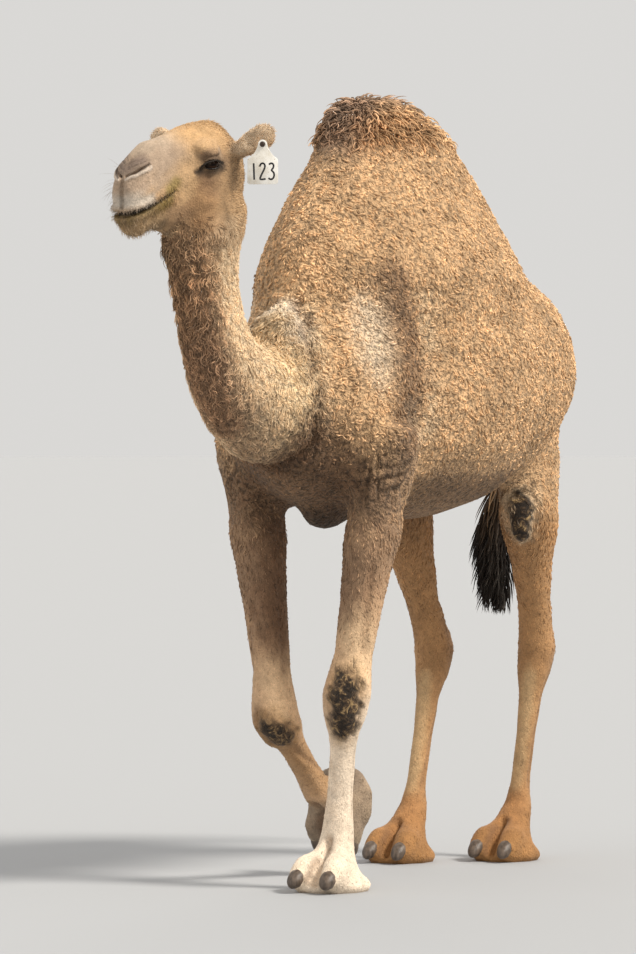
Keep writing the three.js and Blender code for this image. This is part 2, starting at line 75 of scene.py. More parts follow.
# %% Camera
lens_length = 208.7  # mm, on a picture whose long side is 36 mm
camera_place = (6.713, -12.423, 1.25)
camera_turn = math.radians(28.84)
camera_tip = math.radians(-0.9)
bpy.ops.object.camera_add(location=camera_place, rotation=(math.pi / 2 + camera_tip, 0, camera_turn))
camera = bpy.context.object
camera.name = "camera"
camera.data.lens = lens_length
camera.data.sensor_width = 36
camera.data.dof.use_dof = False
bpy.context.scene.camera = camera

# %% [markdown]
# # Floor and light
# The real animal walks in sun that stands high on its left. A studio keeps the sun's side and lets
# go of its hardness: a broad sun for the key, a weak wide one opposite for the fill, and a pale sky
# all round. Suns light the whole floor evenly, where lamps would leave it dark in the distance.

# %% Values and wires of a material
def feed(tree, node, inputs):
    """Gives each input a plain value, or wires it to the output named for it."""
    for name, value in inputs.items():
        if isinstance(value, bpy.types.NodeSocket):
            tree.links.new(value, node.inputs[name])
        else:
            node.inputs[name].default_value = value


def add_node(tree, kind, inputs, **settings):
    """A new shader node with its settings and inputs."""
    node = tree.nodes.new("ShaderNode" + kind)
    for key, value in settings.items():
        setattr(node, key, value)
    feed(tree, node, inputs)
    return node


def new_material(name, inputs):
    """A material with these inputs on its shader, and its node tree."""
    made = bpy.data.materials.new(name)
    made.use_nodes = True
    feed(made.node_tree, made.node_tree.nodes["Principled BSDF"], inputs)
    return made, made.node_tree


def coordinates(tree):
    """The object's own coordinates."""
    return add_node(tree, "TexCoord", {}).outputs["Object"]


def add_stretch(tree, where, scale):
    """Coordinates stretched by a scale for each axis."""
    return add_node(tree, "Mapping", {"Vector": where, "Scale": scale}).outputs["Vector"]


def add_ramp(tree, factor, stops):
    """The colour of a ramp with these stops, each a position and a colour."""
    ramp = add_node(tree, "ValToRGB", {"Fac": factor})
    marks = ramp.color_ramp.elements
    for number, (position, colour) in enumerate(stops):
        mark = marks[number] if number < 2 else marks.new(position)
        mark.position = position
        mark.color = (*colour, 1)
    return ramp.outputs["Color"]


def add_noise(tree, where, scale, detail, **more):
    """A noise over these coordinates."""
    inputs = {"Vector": where, "Scale": scale, "Detail": detail, **more}
    return add_node(tree, "TexNoise", inputs).outputs["Fac"]


def add_spread(tree, value, low, high, to_low=0.0, to_high=1.0):
    """A value whose range from low to high is stretched or squeezed to another."""
    inputs = {"Value": value, "From Min": low, "From Max": high, "To Min": to_low, "To Max": to_high}
    return add_node(tree, "MapRange", inputs).outputs["Result"]


def add_sum(tree, operation, *values):
    """The result of a sum with these values."""
    return add_node(tree, "Math", dict(enumerate(values)), operation=operation).outputs["Value"]


def add_cover(tree, factor, under, over):
    """One colour laid over another."""
    inputs = {"Factor": factor, "A": under, "B": over}
    return add_node(tree, "Mix", inputs, data_type="RGBA").outputs["Result"]


def surface(tree, colour, height=None, distance=0.0):
    """Wires the colour to the shader, and the height as bumps this many metres high."""
    inputs = {"Base Color": colour}
    if height is not None:
        bump = add_node(tree, "Bump", {"Strength": 1.0, "Distance": distance, "Height": height})
        inputs["Normal"] = bump.outputs["Normal"]
    feed(tree, tree.nodes["Principled BSDF"], inputs)


# %% Floor and light
bpy.ops.mesh.primitive_circle_add(vertices=96, radius=90, fill_type="NGON")
floor = bpy.context.object
floor.name = "floor"
floor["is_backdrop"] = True
floor_looks = {"Base Color": (0.381, 0.388, 0.398, 1), "Roughness": 0.85}
floor.data.materials.append(new_material("pale floor", floor_looks)[0])

suns = {
    "key": {"from": (5.8, 0.4, 6.6), "spread": 14, "power": 3.6, "colour": (1, 0.95, 0.87)},
    "fill": {"from": (-4.5, -6.0, 3.0), "spread": 60, "power": 0.45, "colour": (1, 0.97, 0.93)},
    "back": {"from": (-3.0, 6.5, 4.0), "spread": 40, "power": 0.45, "colour": (1, 0.97, 0.93)},
}
for name, sun in suns.items():
    bpy.ops.object.light_add(type="SUN", location=sun["from"])
    light = bpy.context.object
    light.name = name + " sun"
    light.rotation_euler = (-Vector(sun["from"])).to_track_quat("-Z", "Y").to_euler()
    light.data.angle = math.radians(sun["spread"])
    light.data.energy = sun["power"]
    light.data.color = sun["colour"]
world = bpy.data.worlds.new("pale sky")
bpy.context.scene.world = world
world.use_nodes = True
sky = world.node_tree.nodes["Background"]
feed(world.node_tree, sky, {"Color": (0.97, 0.955, 0.93, 1), "Strength": 0.72})
bpy.context.scene.view_settings.view_transform = "Standard"

# %% [markdown]
# # One skin for all the flesh
# On the animal the hide runs without a break from the lips to the tail. The solids are parted by thin
# cuts and faceted. One way to close them is to bridge every cut by hand; a voxel remesh does it at
# once: copies of the solids are grown until the cuts close, joined, and wrapped in one even mesh.
# The copies of the eyes and nails go in too, so that the hide has no holes beneath them.

# %% Copy, join and wrap
wrap_cell = 0.0065  # edge of the voxels that the skin is wrapped in
close_cuts = 0.0009  # growth that closes the cuts between the solids
solids = sorted(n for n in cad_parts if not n.startswith("ear_tag"))
nails = [n for n in solids if n.startswith("toenail_")]
flesh = [n for n in solids if not n.startswith("eye_") and n not in nails]


def only(*objects):
    """Selects just these objects, the last one active."""
    bpy.ops.object.select_all(action="DESELECT")
    for each in objects:
        each.select_set(True)
    bpy.context.view_layer.objects.active = objects[-1]


def copy_of(node, name, growth=0.0):
    """A loose copy of a solid with its doubles merged, grown by so much."""
    copied = bpy.data.objects.new(name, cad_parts[node].data.copy())
    bpy.context.scene.collection.objects.link(copied)
    copied.data.materials.clear()
    only(copied)
    bpy.ops.object.mode_set(mode="EDIT")
    bpy.ops.mesh.select_all(action="SELECT")
    bpy.ops.mesh.remove_doubles(threshold=1e-5)
    bpy.ops.transform.shrink_fatten(value=growth)
    bpy.ops.object.mode_set(mode="OBJECT")
    return copied


def apply(piece, kind, **settings):
    """Adds a modifier with these settings and applies it."""
    only(piece)
    modifier = piece.modifiers.new(kind.lower(), kind)
    for key, value in settings.items():
        setattr(modifier, key, value)
    bpy.ops.object.modifier_apply(modifier=modifier.name)


copies = []
for node in solids:
    copied = copy_of(node, "copy of " + node, close_cuts)
    group = copied.vertex_groups.new(name=node)
    group.add(range(len(copied.data.vertices)), 1, "REPLACE")
    copies.append(copied)
only(*copies)
bpy.ops.object.join()
joined = bpy.context.object
skin = joined.copy()
skin.data = joined.data.copy()
skin.name = "skin"
bpy.context.scene.collection.objects.link(skin)
apply(skin, "REMESH", mode="VOXEL", voxel_size=wrap_cell, use_smooth_shade=True)
print("wrapped skin:", len(skin.data.polygons), "faces")

# %% [markdown]
# # Which part is which
# The wrap forgets which solid each face came from. The joined copies still know, so a Data Transfer
# hands their vertex groups to the nearest skin. The groups are then read as plain numbers, one array
# for each part. Blurred along the surface, they let coat, colour and softness change gradually from
# one part to the next.

# %% Soft steps
def climb(value, start, width):
    """0 up to the start, then a straight climb that reaches 1 this much later."""
    return np.clip((value - start) / width, 0, 1)


def bell(distance, reach, power=2):
    """1 in the middle, fading to nothing past the reach. A higher power has a flatter top."""
    return np.exp(-((distance / reach) ** power))


# %% Numbers in and out of a mesh
def read(piece, what="co", owner="vertices", width=3):
    """A mesh's numbers as an array: one row for each vertex, edge or face."""
    items = getattr(piece.data, owner)
    numbers = np.empty(len(items) * width)
    items.foreach_get(what, numbers)
    return numbers.reshape(-1, width)


def place(piece, points):
    """Moves a mesh's vertices to these points."""
    piece.data.vertices.foreach_set("co", points.ravel())
    piece.data.update()


def blurred(values, edges, times):
    """Values averaged with their neighbours' along the edges, again and again."""
    count = len(values)
    ends = np.concatenate([edges[:, 0], edges[:, 1]])
    others = np.concatenate([edges[:, 1], edges[:, 0]])
    number = np.maximum(np.bincount(ends, minlength=count), 1)
    for _ in range(times):
        values = (values + np.bincount(ends, values[others], count) / number) / 2
    return values


def shares_of(piece):
    """How much each vertex belongs to each part, from 0 to 1."""
    table = np.zeros((len(piece.vertex_groups), len(piece.data.vertices)))
    for vertex in piece.data.vertices:
        for entry in vertex.groups:
            table[entry.group, vertex.index] = entry.weight
    return {group.name: table[group.index] for group in piece.vertex_groups}


def mixed(shares, amounts):
    """One number for each vertex: every part's amount, weighed by the vertex's share of that part."""
    total = 0
    for name, share in shares.items():
        for word, amount in amounts.items():
            if name.startswith(word):
                total = total + share * amount
                break
    return total


def edges_of(piece):
    return read(piece, "vertices", "edges", 2).astype(int)


# %% Hand the parts to the skin
apply(
    skin,
    "DATA_TRANSFER",
    object=joined,
    use_vert_data=True,
    data_types_verts={"VGROUP_WEIGHTS"},
    vert_mapping="POLYINTERP_NEAREST",
)
bpy.data.objects.remove(joined)
shares = shares_of(skin)
edges = edges_of(skin)

# %% [markdown]
# # From facets to flesh
# The solids' facets are up to a hand wide on the trunk and a finger wide on the face, so each part is
# smoothed as much as its facets need: a vertex group scales one Smooth modifier. Then the skin sinks
# below the solids by the coat's depth, so that the tips of the coat end where the solids did.

# %% Smooth each part and sink it by its coat
softness = {
    "trunk": 1.0,
    "hump": 1.0,
    "neck_lower": 1.0,
    "neck_upper": 0.7,
    "tail": 0.25,
    "foreleg": 0.2,
    "hindleg": 0.2,
    "forefoot_right": 0.6,
    "forefoot": 0.35,
    "hindfoot": 0.35,
    "head": 0.07,
    "lower_jaw": 0.07,
    "ear": 0.04,
    "eye": 0.05,
    "": 0.08,
}
smoothing_rounds = 90
softness_blur, sink_blur = 12, 60  # rounds that make the parts' borders gradual
coat_depth = {  # metres from the skin to the tips of the coat
    "trunk": 0.013,
    "hump": 0.015,
    "neck": 0.014,
    "tail_tuft": 0.012,
    "tail": 0.004,
    "foreleg": 0.0015,
    "hindleg": 0.0015,
    "forefoot": 0.0005,
    "hindfoot": 0.0005,
    "toenail": 0.0005,
    "": 0.002,
}
crest_height = 1.90  # above this the hump carries its long crest
crest_depth = 0.030  # more depth at the very top


def group_of(piece, name, weights):
    """A vertex group with a weight for each vertex."""
    group = piece.vertex_groups.new(name=name)
    for index, weight in enumerate(weights):
        group.add([index], float(weight), "REPLACE")


group_of(skin, "softness", blurred(mixed(shares, softness), edges, softness_blur))
apply(skin, "SMOOTH", factor=0.5, iterations=smoothing_rounds, vertex_group="softness")
skin.vertex_groups.remove(skin.vertex_groups["softness"])

points = read(skin)
sink = mixed(shares, coat_depth)
sink += crest_depth * climb(points[:, 2], crest_height, cad_high.z - crest_height)
sink = blurred(sink, edges, sink_blur)
place(skin, points - read(skin, "normal") * sink[:, None])

# %% [markdown]
# # Faces where they are needed
# The trunk lies under wool and needs few faces, the lips and lids need many. Decimate thins the
# selected trunk, neck and legs; Subdivide makes the face four times finer, and the eyes, nostrils and
# mouth sixteen times, as it does the elbows, knees and stifles with their wrinkles and calluses. The
# face is handled in the head's own frame, whose origin lies between the eyes: f runs forward, l to the
# animal's left and t to the top.

# %% The head's own frame
def middle(node):
    low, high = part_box(node)
    return (low + high) / 2


eyes = {1: middle("eye_left"), -1: middle("eye_right")}
eye_low, eye_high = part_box("eye_left")
eye_radius = (eye_high.x - eye_low.x) / 2
to_left = (eyes[1] - eyes[-1]).normalized()
to_front = to_left.cross(Vector((0, 0, 1))).normalized()
head_axes = np.array([to_front, to_left, (0, 0, 1)])
head_home = np.array((eyes[1] + eyes[-1]) / 2 + to_front * 0.005)
eye_side = (eyes[1] - eyes[-1]).length / 2


def to_head(points):
    return (points - head_home) @ head_axes.T


def from_head(local):
    return np.asarray(local) @ head_axes + head_home


# %% Thin the trunk and refine the face
def select_vertices(piece, chosen):
    only(piece)
    bpy.ops.object.mode_set(mode="EDIT")
    bpy.ops.mesh.select_mode(type="VERT")
    bpy.ops.mesh.select_all(action="DESELECT")
    bpy.ops.object.mode_set(mode="OBJECT")
    piece.data.vertices.foreach_set("select", chosen)
    bpy.ops.object.mode_set(mode="EDIT")


def thin(piece, chosen, ratio):
    select_vertices(piece, chosen)
    bpy.ops.mesh.decimate(ratio=ratio)
    bpy.ops.object.mode_set(mode="OBJECT")


def refine(piece, chosen):
    select_vertices(piece, chosen)
    bpy.ops.mesh.subdivide(number_cuts=1)
    bpy.ops.object.mode_set(mode="OBJECT")


def head_share_of(shares):
    return mixed(shares, {"head": 1, "lower_jaw": 1, "eye": 1})


mostly = 0.6  # share above which a vertex counts as the part's
trunk_kept, legs_kept = 0.12, 0.38  # share of their faces that stays
face_back = 0.045  # how far behind the eyes the finer mesh begins
thin(skin, mixed(shares, {"trunk": 1, "hump": 1, "neck": 1}) > mostly, trunk_kept)
limbs = {"foreleg": 1, "hindleg": 1, "tail": 1, "forefoot": 1, "hindfoot": 1}
thin(skin, mixed(shares_of(skin), limbs) > mostly, legs_kept)
shares = shares_of(skin)
local = to_head(read(skin))
refine(skin, (head_share_of(shares) > 0.5) & (local[:, 0] > -face_back))

local = to_head(read(skin))
eye_reach = 0.033  # radius of the finest mesh round each eye
near_eye = np.linalg.norm(np.abs(local) - [0.005, eye_side, 0], axis=1) < eye_reach
nose_start, nose_floor, nose_roof = 0.172, -0.06, 0.016
near_nose = (local[:, 0] > nose_start) & (local[:, 2] < nose_roof) & (local[:, 2] > nose_floor)
mouth_corner = (0.104, -0.070)  # f and t of the back end of the lips
mouth_slope = 0.45  # how fast the line of the lips falls forward
lip_line = mouth_corner[1] - mouth_slope * (local[:, 0] - mouth_corner[0])
lips_start, lips_half = 0.085, 0.019
near_lips = (local[:, 0] > lips_start) & (np.abs(local[:, 2] - lip_line) < lips_half)
refine(skin, near_eye | near_nose | near_lips)
wrinkled = [  # elbow, stifle and knee, with the reach of the finer mesh
    ((0.250, -0.270, 1.035), 0.085),
    ((0.185, 0.545, 0.930), 0.075),
    ((0.140, -0.340, 0.480), 0.060),
]
for _ in range(2):
    points = read(skin)
    near = [np.linalg.norm(points * [side, 1, 1] - spot, axis=1) < reach
            for spot, reach in wrinkled for side in (1, -1)]
    refine(skin, np.any(near, axis=0))
print("skin with a fine face:", len(skin.data.polygons), "faces")

# %% [markdown]
# # Modelling the face
# A sculptor adds clay and cuts it away. Here that is a list of mounds and hollows, each a soft oval
# push along the skin's normals, and a list of creases, each a narrow cut along a line. Both halves of
# the face take the same list, because it is read with the distance from the middle plane.

# %% Mounds, hollows and creases
def folded(local):
    """Head coordinates with the right half laid over the left one."""
    return np.column_stack([local[:, 0], np.abs(local[:, 1]), local[:, 2]])


def oval(points, centre, reach):
    """1 at the centre, falling softly to nothing at about twice the reach."""
    return np.exp(-(((points - centre) / reach) ** 2).sum(axis=1))


def to_line(points, line):
    """Distance from a line of straight stretches, and how far along it, from 0 to 1."""
    line = np.asarray(line, float)
    best = np.full(len(points), np.inf)
    share = np.zeros(len(points))
    for index in range(len(line) - 1):
        step = line[index + 1] - line[index]
        if not step.any():
            continue
        along = np.clip((points - line[index]) @ step / (step @ step), 0, 1)
        distance = np.linalg.norm(points - line[index] - along[:, None] * step, axis=1)
        nearer = distance < best
        best[nearer] = distance[nearer]
        share[nearer] = (index + along[nearer]) / (len(line) - 1)
    return best, share


mounds = {  # centre and reach in f, l and t, and height; all in metres
    "brow": ((-0.008, 0.088, 0.032), (0.040, 0.018, 0.010), 0.008),
    "lid over the ball": ((0.000, 0.093, 0.022), (0.026, 0.014, 0.009), 0.006),
    "fold over the brow": ((0.000, 0.080, 0.052), (0.040, 0.020, 0.005), -0.003),
    "bag under the eye": ((0.004, 0.090, -0.020), (0.024, 0.016, 0.007), 0.003),
    "hollow before the eye": ((0.052, 0.062, -0.006), (0.026, 0.020, 0.020), -0.007),
    "temple": ((-0.052, 0.080, 0.030), (0.026, 0.020, 0.026), -0.006),
    "cheek bone": ((-0.004, 0.084, -0.037), (0.045, 0.020, 0.011), 0.004),
    "jaw muscle": ((-0.026, 0.078, -0.100), (0.036, 0.020, 0.040), 0.006),
    "hollow cheek": ((0.050, 0.058, -0.078), (0.026, 0.020, 0.030), -0.006),
    "whisker pad": ((0.192, 0.040, -0.070), (0.028, 0.024, 0.026), 0.005),
    "front of the lip": ((0.228, 0.017, -0.070), (0.020, 0.014, 0.026), 0.004),
    "nose pad": ((0.206, 0.020, 0.004), (0.024, 0.020, 0.016), 0.003),
    "chin": ((0.176, 0.000, -0.166), (0.024, 0.026, 0.016), 0.004),
    "crown": ((-0.088, 0.000, 0.110), (0.036, 0.050, 0.024), 0.005),
}
nostril = [
    (0.236, 0.010, -0.031), (0.218, 0.032, -0.024), (0.198, 0.045, -0.012), (0.182, 0.047, -0.002),
]
nostril_rim = [(f + 0.001, l + 0.001, t - 0.0085) for f, l, t in nostril]
philtrum = [(0.238, 0.0, -0.034), (0.240, 0.0, -0.070), (0.236, 0.0, -0.108)]
creases = {  # line, half width, depth (a ridge where it is below nothing)
    "nostril": (nostril, 0.0036, 0.013),
    "nostril rim": (nostril_rim, 0.0052, -0.0060),
    "philtrum": (philtrum, 0.0030, 0.0050),
    "wrinkle of the nose": (
        [(0.226, 0.010, -0.014), (0.206, 0.034, -0.003), (0.186, 0.044, 0.010)], 0.0022, 0.0018),
    "second wrinkle": (
        [(0.218, 0.006, -0.002), (0.200, 0.028, 0.008), (0.180, 0.040, 0.020)], 0.0022, 0.0016),
    "third wrinkle": ([(0.208, 0.004, 0.008), (0.190, 0.022, 0.019)], 0.0022, 0.0014),
    "fold behind the mouth": ([(0.094, 0.05, -0.05), (0.086, 0.05, -0.09)], 0.005, 0.003),
    "tear line": ([(0.026, 0.07, -0.010), (0.040, 0.064, -0.020)], 0.004, 0.003),
}


def push(piece, amounts, direction=None):
    """Moves each vertex along its normal, or along one direction."""
    along = read(piece, "normal") if direction is None else np.asarray(direction)
    place(piece, read(piece) + along * amounts[:, None])


def on_face(piece):
    return folded(to_head(read(piece)))


def along_skin(line, steps=5):
    """A line with more points, each moved to the nearest place on the skin."""
    line = np.asarray(line, float)
    shares_along = np.linspace(0, len(line) - 1, steps * (len(line) - 1) + 1)
    dense = np.column_stack([np.interp(shares_along, range(len(line)), line[:, n]) for n in range(3)])
    return np.array([skin.closest_point_on_mesh(Vector(point))[1] for point in dense])


def laid_on_skin(line):
    """The same for a line in head coordinates."""
    return folded(to_head(along_skin(from_head(line))))


head_share = head_share_of(shares_of(skin))
group_of(skin, "face", np.clip(head_share, 0, 1))
apply(skin, "SMOOTH", factor=0.5, iterations=6, vertex_group="face")
skin.vertex_groups.remove(skin.vertex_groups["face"])
local = on_face(skin)
push(skin, head_share * sum(high * oval(local, c, r) for c, r, high in mounds.values()))

# %% Lips
lip_depth = 0.013  # how far the gap between the lips goes in
lip_gap = 0.0050  # half its height at the front


def past_lip_line(local):
    """Height above the line of the lips, and how far ahead of their corner, from 0 to 1."""
    ahead = local[:, 0] - mouth_corner[0]
    drop = local[:, 2] - (mouth_corner[1] - mouth_slope * ahead)
    return drop, climb(ahead, -0.012, 0.11)


def gap_height_at(ahead):
    """Half the height of the gap between the lips, from the corner to the front."""
    return 0.0018 + lip_gap * ahead


local = on_face(skin)
above, ahead = past_lip_line(local)
upper_lip = 0.0045 * bell(above - 0.013, 0.008)
lower_lip = 0.0040 * bell(above + 0.014, 0.009)
push(skin, head_share * np.sqrt(ahead) * (upper_lip + lower_lip))
gap_cut = lip_depth * np.sqrt(ahead) * bell(above, gap_height_at(ahead), 4)
push(skin, -head_share * gap_cut * (ahead > 0))
local = on_face(skin)
for line, half_width, deep in creases.values():
    distance, _ = to_line(local, laid_on_skin(line))
    push(skin, -head_share * deep * bell(distance, half_width))

# %% [markdown]
# # Eyelids
# The lids are the skin where it slides over the ball. Around each eye the skin is drawn onto a sphere
# a little larger than the ball. Inside the almond of the opening it drops behind the ball, so that
# the ball shows, and a rim with lashes will later run along the edge.

# %% Draw the lids over the ball
eye_facing = np.array([0.45, 0.89, -0.04])  # where the eye looks, in f, l and t
eye_facing /= np.linalg.norm(eye_facing)
eye_tilt = math.radians(-9)  # the front corner hangs lower
level = np.cross([0, 0, 1], eye_facing)
level *= -1 / np.linalg.norm(level)
rise = np.cross(level, eye_facing)
rise *= math.copysign(1, rise[2])
eye_ahead = level * math.cos(eye_tilt) + rise * math.sin(eye_tilt)
eye_up = rise * math.cos(eye_tilt) - level * math.sin(eye_tilt)
eye_centre = np.array([-0.005, eye_side, 0.0])
opening_half = 0.0222  # half the length of the opening
lid_high, lid_low = 0.0104, -0.0096  # the lids' edges over and under the middle
lid_thickness = 0.0028
lid_fade, lid_reach = 0.010, 0.040  # how far past the opening the skin is held, and from the middle
behind_ball = 0.005  # how far inside the ball's surface the skin drops in the opening


def opening(ahead):
    """Heights of the upper and the lower lid's edge at this place along the opening."""
    arch = np.sqrt(np.clip(1 - (ahead / opening_half) ** 2, 0, 1))
    return lid_high * arch, lid_low * arch


local = on_face(skin)
from_ball = local - eye_centre
distance = np.linalg.norm(from_ball, axis=1)
along, over = from_ball @ eye_ahead, from_ball @ eye_up
top_edge, low_edge = opening(along)
outer_side = from_ball @ eye_facing > 0.002
inside = outer_side & (over < top_edge) & (over > low_edge)
times_out = np.maximum(np.hypot(along / opening_half, over / lid_high), 1)
beyond = np.hypot(along, over) * (1 - 1 / times_out)
hold = bell(beyond, lid_fade) * outer_side * (distance < lid_reach)
wanted = np.where(inside, eye_radius - behind_ball, eye_radius + lid_thickness)
change = (wanted - distance) * np.where(inside, 1, hold)
outward = from_ball / np.maximum(distance, 1e-6)[:, None]
shift = outward * change[:, None] * (head_share > 0.3)[:, None]
mirror = np.sign(to_head(read(skin))[:, 1])
shift[:, 1] *= mirror
place(skin, read(skin) + shift @ head_axes)

# %% [markdown]
# # Modelling the body
# The wool hides most of the trunk, but not the forms under it: the edge of the shoulder blade, the
# folds behind the elbow, the hollow of the flank, the tendons and knees. They are pushed in the same
# way as the face, in the frame's own metres, with X counted from the middle so that both sides take
# the same list.

# %% Mounds and creases of the body
def two_sided(points):
    return np.column_stack([np.abs(points[:, 0]), points[:, 1], points[:, 2]])


body_mounds = {  # centre and reach in x (from the middle), y and z, and height
    "shoulder blade": ((0.235, -0.200, 1.360), (0.10, 0.070, 0.150), 0.010),
    "upper arm": ((0.250, -0.235, 1.080), (0.09, 0.080, 0.090), 0.012),
    "hollow of the flank": ((0.300, 0.400, 1.150), (0.10, 0.090, 0.110), -0.016),
    "hip": ((0.230, 0.560, 1.420), (0.08, 0.100, 0.070), 0.010),
    "hollow before the shoulder": ((0.170, -0.400, 1.330), (0.07, 0.050, 0.130), -0.008),
    "belly": ((0.100, 0.100, 0.930), (0.20, 0.300, 0.050), 0.004),
}
neck_edge = [
    (0.044, -0.405, 1.474), (0.102, -0.448, 1.398), (0.134, -0.465, 1.299), (0.139, -0.465, 1.201),
    (0.116, -0.442, 1.126), (0.087, -0.456, 1.084), (0.036, -0.467, 1.057), (0.000, -0.460, 1.045),
]
body_creases = {  # line, half width, depth
    "behind the shoulder": (
        [(0.24, -0.13, 1.50), (0.26, -0.12, 1.30), (0.275, -0.17, 1.12)], 0.022, 0.009),
    "elbow fold": ([(0.275, -0.19, 1.08), (0.255, -0.24, 1.00), (0.215, -0.19, 0.95)], 0.014, 0.010),
    "second elbow fold": ([(0.262, -0.27, 1.03), (0.240, -0.28, 0.97)], 0.010, 0.006),
    "neck root": (neck_edge, 0.014, 0.020),
    "stifle fold": ([(0.235, 0.540, 1.000), (0.205, 0.500, 0.965), (0.15, 0.49, 0.98)], 0.010, 0.010),
}


def on_body(piece):
    return two_sided(read(piece))


local = on_body(skin)
push(skin, sum(high * oval(local, c, r) for c, r, high in body_mounds.values()))
local = on_body(skin)
for line, half_width, deep in body_creases.values():
    distance, _ = to_line(local, along_skin(line))
    push(skin, -deep * bell(distance, half_width))

# %% Calluses and wrinkles of the legs
fore_knees = {"left": (0.115, -0.292, 0.480), "right": (-0.092, -0.283, 0.425)}
hocks = {"left": (0.095, 0.803, 0.556), "right": (-0.156, 0.697, 0.550)}
stifles = {"left": (0.170, 0.560, 0.915), "right": (-0.188, 0.442, 0.908)}
fetlocks = {
    "foreleg_left": (0.090, -0.297, 0.140),
    "foreleg_right": (-0.112, -0.029, 0.222),
    "hindleg_left": (0.056, 0.769, 0.140),
    "hindleg_right": (-0.164, 0.587, 0.140),
}


def beside(point, x=0.0, y=0.0, z=0.0):
    return (point[0] + x, point[1] + y, point[2] + z)


knee_pads = {
    "left": [(0.140, -0.346, 0.515), (0.142, -0.350, 0.467), (0.133, -0.340, 0.415)],
    "right": [(-0.080, -0.338, 0.400), (-0.060, -0.300, 0.372)],
}
stifle_pads = {
    word: [
        beside(stifle, x=math.copysign(0.018, stifle[0]), y=-0.022, z=0.030),
        beside(stifle, x=math.copysign(0.010, stifle[0]), y=-0.022, z=-0.035),
    ]
    for word, stifle in stifles.items()
}
elbow_wrinkles = [
    [(0.182, -0.347, 1.071), (0.236, -0.315, 1.084), (0.266, -0.251, 1.101)],
    [(0.173, -0.340, 1.046), (0.234, -0.313, 1.056), (0.267, -0.231, 1.070)],
    [(0.166, -0.338, 1.019), (0.233, -0.310, 1.026), (0.263, -0.234, 1.041)],
    [(0.166, -0.337, 0.992), (0.229, -0.308, 0.997), (0.257, -0.244, 1.008)],
]


def pad_relief(points, line, radius, high):
    """A raised pad with a groove round it, a soft rim outside the groove and folds along the rim."""
    distance, _ = to_line(points, line)

    def ring(at, width):
        return bell(distance - at * radius, width * radius)

    pad = bell(distance, radius, 4)
    folds = 0.25 * np.sin(distance / 0.0021) * ring(1.75, 0.40)
    return high * (pad - 0.5 * ring(1.25, 0.22) + 0.7 * ring(1.60, 0.28) + folds)


leg_mounds = []  # centre, reach and height
leg_grooves = []  # line, half width and depth
for word, side in (("left", 1), ("right", -1)):
    knee, hock = fore_knees[word], hocks[word]
    low, hind_low = fetlocks["foreleg_" + word], fetlocks["hindleg_" + word]
    leg_mounds += [
        (beside(knee, y=-0.050), (0.030, 0.030, 0.045), 0.006),
        (beside(knee, x=side * 0.046, z=0.022), (0.020, 0.030, 0.030), 0.006),
        (beside(knee, y=0.052, z=-0.012), (0.025, 0.022, 0.026), 0.008),
        (beside(knee, z=0.100), (0.060, 0.060, 0.036), -0.005),
        (beside(knee, z=-0.105), (0.050, 0.060, 0.040), -0.004),
        (beside(hock, y=0.055, z=0.035), (0.022, 0.024, 0.032), 0.011),
        (beside(hock, x=side * 0.035, y=0.022, z=0.095), (0.020, 0.018, 0.050), -0.009),
        (beside(hock, x=-side * 0.035, y=0.022, z=0.095), (0.020, 0.018, 0.050), -0.009),
        (beside(hock, x=side * 0.036, y=-0.012, z=0.000), (0.018, 0.024, 0.028), 0.007),
        (beside(hock, y=-0.050, z=0.010), (0.030, 0.022, 0.030), 0.005),
        (beside(hock, y=-0.060, z=0.230), (0.040, 0.035, 0.060), 0.008),
        (beside(hock, z=-0.110), (0.050, 0.050, 0.040), -0.004),
        (beside(hind_low, y=0.035, z=0.010), (0.030, 0.022, 0.022), 0.007),
        (beside(hind_low, z=0.060), (0.045, 0.045, 0.030), -0.003),
        (beside(low, y=0.030, z=0.012), (0.030, 0.022, 0.022), 0.005),
    ]
    for x in (side, -side):  # tendons on both sides of the shanks, muscles above the joints
        for start, end, half_width, deep in (
            ((knee, 0.030, 0.012, -0.075), (low, 0.030, 0.010, 0.045), 0.008, 0.0045),
            ((hock, 0.028, 0.008, -0.080), (hind_low, 0.028, 0.008, 0.055), 0.008, 0.0050),
            ((hock, 0.040, -0.020, 0.140), (hock, 0.032, -0.060, 0.270), 0.012, 0.0050),
            ((knee, 0.045, -0.005, 0.120), (knee, 0.050, 0.010, 0.330), 0.012, 0.0050),
        ):
            line = [beside(joint, x * out, y, z) for joint, out, y, z in (start, end)]
            leg_grooves.append((line, half_width, deep))
toe_groove = 0.015  # grooves deeper than this part the toes
leg_grooves += [  # between the toes
    ([(0.090, -0.335, 0.125), (0.090, -0.400, 0.075), (0.090, -0.446, 0.025)], 0.0095, 0.024),
    ([(0.056, 0.680, 0.115), (0.056, 0.630, 0.070), (0.056, 0.600, 0.025)], 0.0095, 0.024),
    ([(-0.164, 0.500, 0.115), (-0.164, 0.450, 0.070), (-0.164, 0.418, 0.025)], 0.0095, 0.024),
    ([(-0.112, -0.035, 0.200), (-0.112, 0.000, 0.130), (-0.112, 0.045, 0.080)], 0.0110, 0.016),
]
for nail in nails:
    spot = np.array(middle(nail))
    backward = np.array((0, -0.040, 0.045) if "fore_right" in nail else (0, 0.045, 0.030))
    leg_mounds.append((spot + backward, (0.024, 0.026, 0.020), 0.013))
    leg_mounds.append((spot + backward * 0.45, (0.018, 0.012, 0.012), 0.009))

